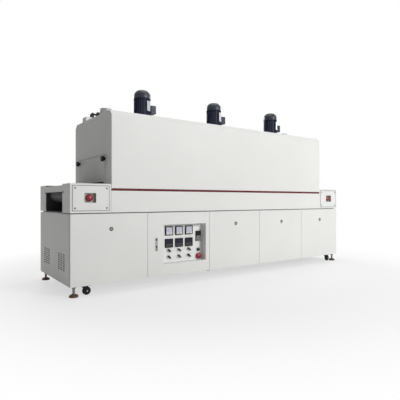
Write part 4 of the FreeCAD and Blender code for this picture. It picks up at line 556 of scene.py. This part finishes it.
# Dark red trim along the hood's lower edge
trim = Piece("seam_trim", SEAL_RED)
TRIM_THICK, TRIM_FOOT, TRIM_TOP = 0.0009, hood_low.z + 0.0003, hood_low.z + 0.0080
for face, direction in SIDES:
    near, far = sorted((face, face + direction.y * TRIM_THICK))
    trim.box((-HOOD_END, near, TRIM_FOOT), (HOOD_END, far, TRIM_TOP))
trim.place("hood", "seal_rubber")

# Belt tension screws, sunk in their holes beside the inlet; a dark disc in each hole behind the head is
# painted shade
tension = Piece("tension_screws", DARK_PRINT_AND_SHADE, SCREW_STEEL)
TENSION_Y, TENSION_Z = 0.243, 0.740
for across in (-1, 1):
    at = Vector((INLET_END, MIDDLE_Y + across * TENSION_Y, TENSION_Z))
    # Painted shade: a near-black disc just inside the hole, behind the screw head
    tension.cone(at + Vector((0.0020, 0, 0)), (-1, 0, 0), 0.0116, 0.0116, 0.0016, 0, 24)
    tension.cone(at + Vector((0.0004, 0, 0)), (-1, 0, 0), 0.0062, 0.0058, 0.0004, 1, 6, False)
tension.place("base", "black_plastic")

# Dark sheets in thin frames behind the slots of the end panels, painted shade for the dark inside of the base
slot_shade = Piece("vent_shade_sheets", VENT_PAINTED_SHADE, ZINC)
MAT_HALF, MAT_LOW, MAT_HIGH, MAT_FRAME = 0.090, VENT_Z - 0.010, VENT_Z + 0.129, 0.004
for along in (-1, 1):
    near, far = sorted((along * (cad_high.x - 0.0021), along * (cad_high.x - 0.0060)))
    for across in (-1, 1):
        left, right = (MIDDLE_Y + across * VENT_Y + edge for edge in (-MAT_HALF, MAT_HALF))
        before, after = left - MAT_FRAME, right + MAT_FRAME
        slot_shade.box((near, left, MAT_LOW), (far, right, MAT_HIGH))
        slot_shade.box((near, before, MAT_LOW), (far, left, MAT_HIGH), 1)
        slot_shade.box((near, right, MAT_LOW), (far, after, MAT_HIGH), 1)
        slot_shade.box((near, before, MAT_LOW - MAT_FRAME), (far, after, MAT_LOW), 1)
        slot_shade.box((near, before, MAT_HIGH), (far, after, MAT_HIGH + MAT_FRAME), 1)
slot_shade.place("base", "black_plastic")

# Key slots in the panel locks, each slot a dark mark of painted shade; the control door in the second bay of
# the front has none
keys = Piece("lock_key_slots", DARK_PRINT_AND_SHADE, PLATE_GREY)
SLOT_HALF, LOCK_RIM = Vector((0.0012, 0.0001, 0.0055)), 0.002
for face, direction in SIDES:
    for bay in range(5):
        if direction is FRONT and bay == 1:
            continue
        at = Vector(((bay - 2) * BAY, face, LOCK_Z)) + direction * LOCK_RIM
        keys.ring(at, direction, 0.0080, 0.0150, 0.00105, 0, 24)
        keys.cone(at, direction, 0.0076, 0.0072, 0.00106, 1, 20)
        slot = at + direction * 0.001
        keys.box(slot - SLOT_HALF, slot + SLOT_HALF)
keys.place("base", "black_plastic")

# Hinge screws, three to a leaf
LEAF_FACE, LEAF_SHIFTS, LEAF_ROW, LEAF_HEAD = BACK_Y + 0.003, (-0.034, 0.0, 0.034), 0.0235, 0.0042
for body, drop in (("base", -1), ("hood", 1)):
    hinge_screws = Piece(f"hinge_screws_{body}", BRIGHT_STEEL, DARK_PRINT_AND_SHADE)
    for x in HINGE_X:
        for shift in LEAF_SHIFTS:
            hinge_screws.screw((x + shift, LEAF_FACE, SEAM_Z + drop * LEAF_ROW), BACK, LEAF_HEAD)
    hinge_screws.place(body, "hinge_steel")

# Motor flange bolts, blank plates and terminal box screws
bolts = Piece("motor_flange_bolts", HINGE_STEEL, DARK_PRINT_AND_SHADE)
plates = Piece("motor_blank_plates", PLATE_GREY)
BOLT_CIRCLE, FLANGE_TOP = 0.079, ROOF_Z + 0.010
TERMINAL_FACE, TERMINAL_SHIFTS, TERMINAL_LEVELS = 0.117, (-0.026, 0.026), (0.090, 0.140)
BLANK_HALF, BLANK_TURN = Vector((0.0008, 0.021, 0.043)), math.radians(-66)
BLANK_Z, BLANK_OUT = ROOF_Z + 0.134, 0.0722
for x in MOTOR_X:
    for quarter in range(4):
        angle = math.radians(45 + 90 * quarter)
        place = Vector((x, MOTOR_Y, FLANGE_TOP)) + around(angle) * BOLT_CIRCLE
        bolts.bolt(place, UP, 0.0065)
    for shift in TERMINAL_SHIFTS:
        for level in TERMINAL_LEVELS:
            bolts.screw((x + TERMINAL_FACE, MOTOR_Y + shift, ROOF_Z + level), (1, 0, 0), 0.0035)
    middle = Vector((x, MOTOR_Y, BLANK_Z)) + around(BLANK_TURN) * BLANK_OUT
    plates.box(middle - BLANK_HALF, middle + BLANK_HALF, 0, Matrix.Rotation(BLANK_TURN, 4, "Z"))
bolts.place("hood", "hinge_steel")
plates.place("hood", "galvanised")

# Rolled beads and rivets on the exhaust spigots
beads = Piece("spigot_beads", ZINC, BRIGHT_STEEL)
RIVETS, RIVET_CIRCLE = 8, 0.060
BEAD_Z, SPIGOT_FLANGE = ROOF_Z + 0.070, ROOF_Z + 0.003
for x in (-SPIGOT_X, SPIGOT_X):
    beads.ring((x, MIDDLE_Y, BEAD_Z), UP, 0.0495, 0.0512, 0.005)
    for step in range(RIVETS):
        place = Vector((x, MIDDLE_Y, SPIGOT_FLANGE)) + around(2 * math.pi * step / RIVETS) * RIVET_CIRCLE
        beads.cone(place, UP, 0.0035, 0.0018, 0.0016, 1, 12)
beads.place("hood", "galvanised")

# Ammeters: dark frame, printed card, pale lower cover, scale marks, needle and its adjusting screw
ammeters = Piece("ammeter_faces", LAVENDER, BLACK, DARK_PRINT_AND_SHADE, STOP_RED, PALE_PRINT)
CARD_HALF, FRAME_DEEP, CARD_DEEP, COVER_DEEP, COVER_TOP = 0.0295, 0.003, 0.0008, 0.0022, -0.0180
SCALE_MARKS, SCALE_RADIUS, NEEDLE_HALF, NEEDLE_TILT = 11, 0.033, 0.015, math.radians(128)
MARK_THIN = Vector((0, 0.0002, 0.0004))
for x in METER_X:
    y, z = INSTRUMENT_FACE, METER_Z
    ammeters.box((x - CARD_HALF, y - CARD_DEEP, z - CARD_HALF), (x + CARD_HALF, y, z + CARD_HALF))
    for sign in (-1, 1):
        inner, outer = sorted((sign * CARD_HALF, sign * CASE_HALF))
        ammeters.box((x + inner, y - FRAME_DEEP, z - CASE_HALF), (x + outer, y, z + CASE_HALF), 1)
        ammeters.box((x - CARD_HALF, y - FRAME_DEEP, z + inner), (x + CARD_HALF, y, z + outer), 1)
    ammeters.box((x - CARD_HALF, y - COVER_DEEP, z - CARD_HALF),
                 (x + CARD_HALF, y - CARD_DEEP, z + COVER_TOP), 4)
    pivot = Vector((x, y - 0.0012, z - 0.016))
    for step in range(SCALE_MARKS):
        angle = math.radians(140 - 10 * step)
        mark_long = 0.006 if step % 5 == 0 else 0.0035
        half = MARK_THIN + Vector((mark_long / 2, 0, 0))
        ammeters.bar(pivot + spoke(angle) * SCALE_RADIUS, half, angle, 2)
    needle = pivot + spoke(NEEDLE_TILT) * NEEDLE_HALF - Vector((0, 0.0004, 0))
    ammeters.bar(needle, MARK_THIN + Vector((NEEDLE_HALF, 0, 0)), NEEDLE_TILT, 3)
    ammeters.cone((x, y - COVER_DEEP, z - 0.0245), FRONT, 0.0035, 0.0030, 0.0012, 1, 16)
ammeters.place("door", "instrument_case")

# Digits of seven bars: each figure's bars, then each bar's place across and up and whether it lies flat
SEGMENTS = {"0": "abcdef", "1": "bc", "2": "abged", "3": "abgcd", "5": "afgcd"}
BARS = {"a": (0, 1, True), "d": (0, -1, True), "g": (0, 0, True), "b": (1, 0.5, False),
        "c": (1, -0.5, False), "e": (-1, -0.5, False), "f": (-1, 0.5, False)}


def digits(piece, text, centre, height, index):
    """A row of seven-bar digits on a plate that faces the front."""
    width, thick = height * 0.5, height * 0.11
    for order, figure in enumerate(text):
        left = centre.x + (order - (len(text) - 1) / 2) * width * 1.65
        for bar in SEGMENTS[figure]:
            across, up, flat = BARS[bar]
            at = Vector((left + across * width / 2, centre.y, centre.z + up * height / 2))
            half = Vector((width * 0.42, 0.0002, thick / 2) if flat else (thick / 2, 0.0002, height * 0.21))
            piece.box(at - half, at + half, index)


# Temperature controllers: rim, dark display with two rows of digits, four keys on a grey field whose grey is
# painted reflection
controllers = Piece("controller_faces", BLACK, SOFT_BLACK, UNLIT_RED, UNLIT_GREEN, KEY_FIELD_REFLECTION, DISPLAY_NAVY)
RIM_INNER, RIM_DEEP, FACE_HALF, DIGIT_DEEP = 0.0325, 0.002, 0.029, 0.0011
DISPLAY_DEEP, FIELD_DEEP, KEY_DEEP = 0.0008, 0.0006, 0.0022
KEY_START, KEY_PITCH, KEY_WIDE = -0.0255, 0.0135, 0.0105
for x in METER_X:
    y, z = INSTRUMENT_FACE, CONTROLLER_Z
    for sign in (-1, 1):
        inner, outer = sorted((sign * RIM_INNER, sign * CASE_HALF))
        controllers.box((x + inner, y - RIM_DEEP, z - CASE_HALF), (x + outer, y, z + CASE_HALF))
        controllers.box((x - RIM_INNER, y - RIM_DEEP, z + inner), (x + RIM_INNER, y, z + outer))
    controllers.box((x - FACE_HALF, y - DISPLAY_DEEP, z - 0.006), (x + FACE_HALF, y, z + FACE_HALF), 5)
    digits(controllers, "235", Vector((x, y - DIGIT_DEEP, z + 0.0195)), 0.012, 2)
    digits(controllers, "250", Vector((x, y - DIGIT_DEEP, z + 0.0015)), 0.009, 3)
    # The key field's grey is painted reflection
    controllers.box((x - FACE_HALF, y - FIELD_DEEP, z - 0.028), (x + FACE_HALF, y, z - 0.009), 4)
    for key in range(4):
        left = x + KEY_START + key * KEY_PITCH
        controllers.box((left, y - KEY_DEEP, z - 0.0235), (left + KEY_WIDE, y - FIELD_DEEP, z - 0.0135), 1)
controllers.place("door", "instrument_case")

# Belt speed controller: display above, two by two keys below
speed = Piece("speed_controller_face", SOFT_BLACK, UNLIT_RED, KEY_GREY, DEVICE_GREY)
SPEED_HALF, SPEED_FACE, SPEED_REACH = 0.023, INSTRUMENT_FACE - 0.0012, 0.042
DISPLAY_FOOT, FIELD_TOP = SPEED_Z + 0.004, SPEED_Z + 0.001
BUTTON_PITCH, BUTTON_WIDE, BUTTON_HIGH = (0.020, 0.018), 0.016, 0.012
speed.box((SPEED_X - SPEED_HALF, SPEED_FACE, DISPLAY_FOOT),
          (SPEED_X + SPEED_HALF, INSTRUMENT_FACE, SPEED_Z + SPEED_REACH))
digits(speed, "1200", Vector((SPEED_X, INSTRUMENT_FACE - 0.0015, SPEED_Z + 0.024)), 0.011, 1)
speed.box((SPEED_X - SPEED_HALF, SPEED_FACE, SPEED_Z - SPEED_REACH),
          (SPEED_X + SPEED_HALF, INSTRUMENT_FACE, FIELD_TOP), 2)
for row in range(2):
    for column in range(2):
        left = SPEED_X - 0.018 + column * BUTTON_PITCH[0]
        low = SPEED_Z - 0.036 + row * BUTTON_PITCH[1]
        speed.box((left, INSTRUMENT_FACE - 0.003, low), (left + BUTTON_WIDE, SPEED_FACE, low + BUTTON_HIGH), 3)
speed.place("door", "instrument_case")

# Switch collars and their marks, the dial's scale, and the main stop's collar
collars = Piece("switch_collars", BRIGHT_STEEL, PALE_PRINT, DARK_PRINT_AND_SHADE)
SWITCH_MARK, SWITCH_MARK_OUT = Vector((0.0022, 0.0003, 0.0006)), 0.0225
DIAL_MARKS, DIAL_MARK, DIAL_MARK_OUT = 11, Vector((0.0022, 0.0003, 0.0004)), 0.0190
for x in METER_X:
    for z in SWITCH_Z:
        collars.ring((x, PLATE_Y, z), FRONT, 0.0154, 0.0185, 0.0042)
        for angle in (math.radians(45), math.radians(135)):
            mark = Vector((x, PLATE_Y - 0.0003, z)) + spoke(angle) * SWITCH_MARK_OUT
            collars.bar(mark, SWITCH_MARK, angle, 2)
collars.ring((SPEED_X, PLATE_Y, DIAL_Z), FRONT, 0.0136, 0.0225, 0.0004, 1)
for step in range(DIAL_MARKS):
    angle = math.radians(225 - 27 * step)
    mark = Vector((SPEED_X, PLATE_Y - 0.0006, DIAL_Z)) + spoke(angle) * DIAL_MARK_OUT
    collars.bar(mark, DIAL_MARK, angle, 2)
collars.ring((SPEED_X, PLATE_Y, MAIN_STOP_Z), FRONT, 0.0116, 0.0175, COLLAR_HIGH)
collars.place("door", "hinge_steel")

# Pale pointer lines on the switches' handles, which rest at a slant, and on the dial
SLANT, HANDLE_TOP, POINTER_OUT = math.radians(-45), PLATE_Y - 0.0204, 0.010
POINTER_HALF = Vector((0.006, 0.0002, 0.0008))
for number in range(1, 7):
    x, z = METER_X[(number - 1) % 3], SWITCH_Z[(number - 1) // 3]
    pointer = Piece(f"switch_pointer_{number}", PALE_PRINT)
    at = Vector((x, HANDLE_TOP, z)) + spoke(SLANT) * POINTER_OUT
    pointer.bar(at, POINTER_HALF, SLANT)
    pointer.place(f"rotary_switch_{number}", "black_plastic")
DIAL_TOP, DIAL_LINE_HALF = PLATE_Y - 0.0159, 0.0006
dial_pointer = Piece("dial_pointer", PALE_PRINT)
dial_pointer.box((SPEED_X - DIAL_LINE_HALF, PLATE_Y - 0.0163, DIAL_Z + 0.001),
                 (SPEED_X + DIAL_LINE_HALF, DIAL_TOP, DIAL_Z + 0.0085))
dial_pointer.place("speed_dial", "black_plastic")

# Latch lock and push button
latch = Piece("latch_fittings", DARK_PRINT_AND_SHADE, HINGE_STEEL)
latch_x = (latch_low.x + latch_high.x) / 2
for z in (latch_low.z + 0.036, latch_high.z - 0.014):
    latch.ring((latch_x, latch_low.y, z), FRONT, 0.0062, 0.0078, 0.0012, 1, 20)
    latch.cone((latch_x, latch_low.y, z), FRONT, 0.0062, 0.0056, 0.0010, 0, 20)
latch.place("door_latch", "hinge_steel")

# Castor axle bolts
CASTOR_X, CASTOR_Y, CASTOR_TRAIL, AXLE_Z, FORK_HALF = 1.382, 0.355, 0.016, 0.030, 0.017
AXLE_HEAD = 0.0046
for end, along in (("inlet", -1), ("outlet", 1)):
    for side, across in (("front", -1), ("back", 1)):
        axle = Piece(f"castor_axle_bolts_{end}_{side}", PLATE_GREY)
        for face in (-1, 1):
            y = MIDDLE_Y + across * CASTOR_Y + face * FORK_HALF
            axle.bolt((along * CASTOR_X + CASTOR_TRAIL, y, AXLE_Z), (0, face, 0), AXLE_HEAD)
        axle.place(f"castor_fork_{end}_{side}", "hinge_steel")

# Cross rods of the mesh belt and the links at its edges, all the way round
STRAIGHT, ARC = OUTLET_X - INLET_X, math.pi * WRAP


def belt_point(way):
    """The place on the belt's loop at a distance from the inlet's top, and the loop's slope there."""
    if way < STRAIGHT:
        return Vector((INLET_X + way, MIDDLE_Y, DRUM_Z + WRAP)), 0.0
    if way < STRAIGHT + ARC:
        turn = (way - STRAIGHT) / WRAP
        return Vector((OUTLET_X + WRAP * math.sin(turn), MIDDLE_Y, DRUM_Z + WRAP * math.cos(turn))), turn
    if way < 2 * STRAIGHT + ARC:
        return Vector((OUTLET_X - (way - STRAIGHT - ARC), MIDDLE_Y, DRUM_Z - WRAP)), 0.0
    turn = (way - 2 * STRAIGHT - ARC) / WRAP
    return Vector((INLET_X - WRAP * math.sin(turn), MIDDLE_Y, DRUM_Z - WRAP * math.cos(turn))), turn


# Rods under the inlet's cross plate take the darker mesh, painted shade
rods = Piece("belt_cross_rods", MESH, MESH_PAINTED_SHADE)
links = Piece("belt_edge_links", SOFT_BLACK)
ROD_COUNT, ROD_RADIUS, ROD_HALF, LINK_Y = 300, 0.0011, 0.208, 0.2065
PITCH = 2 * (STRAIGHT + ARC) / ROD_COUNT
LINK_HALF = Vector((PITCH * 0.42, 0.0030, 0.0013))
for step in range(ROD_COUNT):
    at, slope = belt_point(PITCH * step)
    rods.cone(at - BACK * ROD_HALF, BACK, ROD_RADIUS, ROD_RADIUS, 2 * ROD_HALF, int(in_painted_shade(at)), 6)
    for side in (-1, 1):
        edge = at + BACK * side * LINK_Y
        links.box(edge - LINK_HALF, edge + LINK_HALF, 0, Matrix.Rotation(slope, 4, "Y"))
rods.place("base", "belt_mesh")
links.place("base", "belt_mesh")


# The two conduits, as fixed tubes; on the oven they bend where the hood lifts
CONDUIT_RADIUS = 0.014


def conduit(name, route):
    """A smooth sheathed tube, as a mesh, along a NURBS line that the route's corners guide."""
    curve = bpy.data.curves.new(name, "CURVE")
    curve.dimensions = "3D"
    spline = curve.splines.new("NURBS")
    spline.points.add(len(route) - 1)
    for point, place in zip(spline.points, route):
        point.co = (*place, 1.0)
    spline.order_u = 3
    spline.use_endpoint_u = True
    spline.resolution_u = 24
    curve.bevel_depth = CONDUIT_RADIUS
    curve.bevel_resolution = 5
    curve.use_fill_caps = True
    made = bpy.data.objects.new(name + "_line", curve)
    scene.collection.objects.link(made)
    mesh = bpy.data.meshes.new_from_object(made.evaluated_get(bpy.context.evaluated_depsgraph_get()))
    mesh.materials.clear()
    mesh.materials.append(SHEATH)
    bpy.data.objects.remove(made)
    tube = bpy.data.objects.new(name, mesh)
    scene.collection.objects.link(tube)
    for polygon in mesh.polygons:
        polygon.use_smooth = True
    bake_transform(tube)
    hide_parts("flexible_conduits")


FOOT_Z, TOP_Z, EXIT_Y = 0.652, 1.380, BACK_Y - 0.022
for name, exit_x, drop_x, behind, corner in (("conduit_inner", -0.985, -1.089, 0.030, 0.104),
                                             ("conduit_outer", -0.921, -1.119, 0.060, 0.198)):
    run_y = BACK_Y + behind
    conduit(name, ((exit_x, EXIT_Y, TOP_Z), (exit_x, run_y, TOP_Z), (drop_x, run_y, TOP_Z),
                   (drop_x, run_y, TOP_Z - corner), (drop_x, run_y, FOOT_Z)))

# Floor, light and camera
FLOOR_HALF = 60.0
FLOOR_FADE = (1.4, 2.8)
FLOOR_WHITE = (0.62, 1.0)


def white_when_seen(tree):
    """A 1 for rays that show the background itself, from the camera or by way of metal or glass."""
    path = tree.nodes.new("ShaderNodeLightPath")
    seen = path.outputs["Is Camera Ray"]
    for other in ("Is Glossy Ray", "Is Transmission Ray"):
        either = tree.nodes.new("ShaderNodeMath")
        either.operation = "MAXIMUM"
        tree.links.new(seen, either.inputs[0])
        tree.links.new(path.outputs[other], either.inputs[1])
        seen = either.outputs["Value"]
    return seen


def studio_floor():
    """A pale floor that takes a soft shadow and runs out into plain white."""
    mesh = bpy.data.meshes.new("floor")
    corners = [(across * FLOOR_HALF, along * FLOOR_HALF, 0)
               for across, along in ((-1, -1), (1, -1), (1, 1), (-1, 1))]
    mesh.from_pydata(corners, [], [(0, 1, 2, 3)])
    made = bpy.data.objects.new("floor", mesh)
    scene.collection.objects.link(made)
    pale = bpy.data.materials.new("pale_floor")
    pale.use_nodes = True
    tree = pale.node_tree
    matt = tree.nodes["Principled BSDF"]
    matt.inputs["Base Color"].default_value = (0.74, 0.74, 0.74, 1)
    matt.inputs["Roughness"].default_value = 0.9
    matt.inputs["Specular IOR Level"].default_value = 0.1
    white = tree.nodes.new("ShaderNodeEmission")
    place = tree.nodes.new("ShaderNodeTexCoord")
    reach = tree.nodes.new("ShaderNodeVectorMath")
    reach.operation = "LENGTH"
    tree.links.new(place.outputs["Object"], reach.inputs[0])
    fade = tree.nodes.new("ShaderNodeMapRange")
    fade.interpolation_type = "SMOOTHSTEP"
    fade.inputs["From Min"].default_value, fade.inputs["From Max"].default_value = FLOOR_FADE
    fade.inputs["To Min"].default_value, fade.inputs["To Max"].default_value = FLOOR_WHITE
    tree.links.new(reach.outputs["Value"], fade.inputs["Value"])
    far = tree.nodes.new("ShaderNodeMath")
    far.operation = "MULTIPLY"
    tree.links.new(fade.outputs["Result"], far.inputs[0])
    tree.links.new(white_when_seen(tree), far.inputs[1])
    blend = tree.nodes.new("ShaderNodeMixShader")
    tree.links.new(far.outputs["Value"], blend.inputs[0])
    tree.links.new(matt.outputs["BSDF"], blend.inputs[1])
    tree.links.new(white.outputs["Emission"], blend.inputs[2])
    tree.links.new(blend.outputs["Shader"], tree.nodes["Material Output"].inputs["Surface"])
    mesh.materials.append(pale)


def area_light(name, at, towards, size, power):
    """A round soft light that faces a point."""
    lamp = bpy.data.lights.new(name, "AREA")
    lamp.shape = "DISK"
    lamp.size = size
    lamp.energy = power
    made = bpy.data.objects.new(name, lamp)
    made.location = at
    made.rotation_mode = "QUATERNION"
    made.rotation_quaternion = (Vector(towards) - Vector(at)).to_track_quat("-Z", "Y")
    scene.collection.objects.link(made)


studio_floor()
area_light("key", (3.0, -8.0, 3.6), (0.2, 0, 0.4), 3.4, 530)
area_light("back_key", (0.4, 8.4, 3.8), (-0.3, 0, 0.6), 3.4, 440)
area_light("end_key", (8.2, 2.0, 3.0), (1.2, 0, 0.5), 3.4, 250)
area_light("top", (0.4, 0.0, 6.0), (0, 0, 0.8), 4.0, 90)

world = bpy.data.worlds.new("studio")
scene.world = world
world.use_nodes = True
ambient = world.node_tree.nodes["Background"]
ambient.inputs["Color"].default_value = (1, 1, 1, 1)
ambient.inputs["Strength"].default_value = 0.14
backdrop = world.node_tree.nodes.new("ShaderNodeBackground")
backdrop.inputs["Color"].default_value = (1, 1, 1, 1)
either = world.node_tree.nodes.new("ShaderNodeMixShader")
world.node_tree.links.new(white_when_seen(world.node_tree), either.inputs[0])
world.node_tree.links.new(ambient.outputs["Background"], either.inputs[1])
world.node_tree.links.new(backdrop.outputs["Background"], either.inputs[2])
world.node_tree.links.new(either.outputs["Shader"], world.node_tree.nodes["World Output"].inputs["Surface"])

# The camera fitted to the photograph's front view
PHOTO_SIDE = 400
FOCAL_PIXELS = 391.74
EYE_X, EYE_BEFORE, EYE_Z, EYE_TURN = -2.340, 3.127, 0.682, -0.620
camera = bpy.data.cameras.new("camera")
camera.sensor_width = 36.0
camera.lens = camera.sensor_width * FOCAL_PIXELS / PHOTO_SIDE
eye = bpy.data.objects.new("camera", camera)
eye.location = (EYE_X, MIDDLE_Y - EYE_BEFORE, EYE_Z)
eye.rotation_euler = (math.radians(90), 0, EYE_TURN)
scene.collection.objects.link(eye)
scene.camera = eye
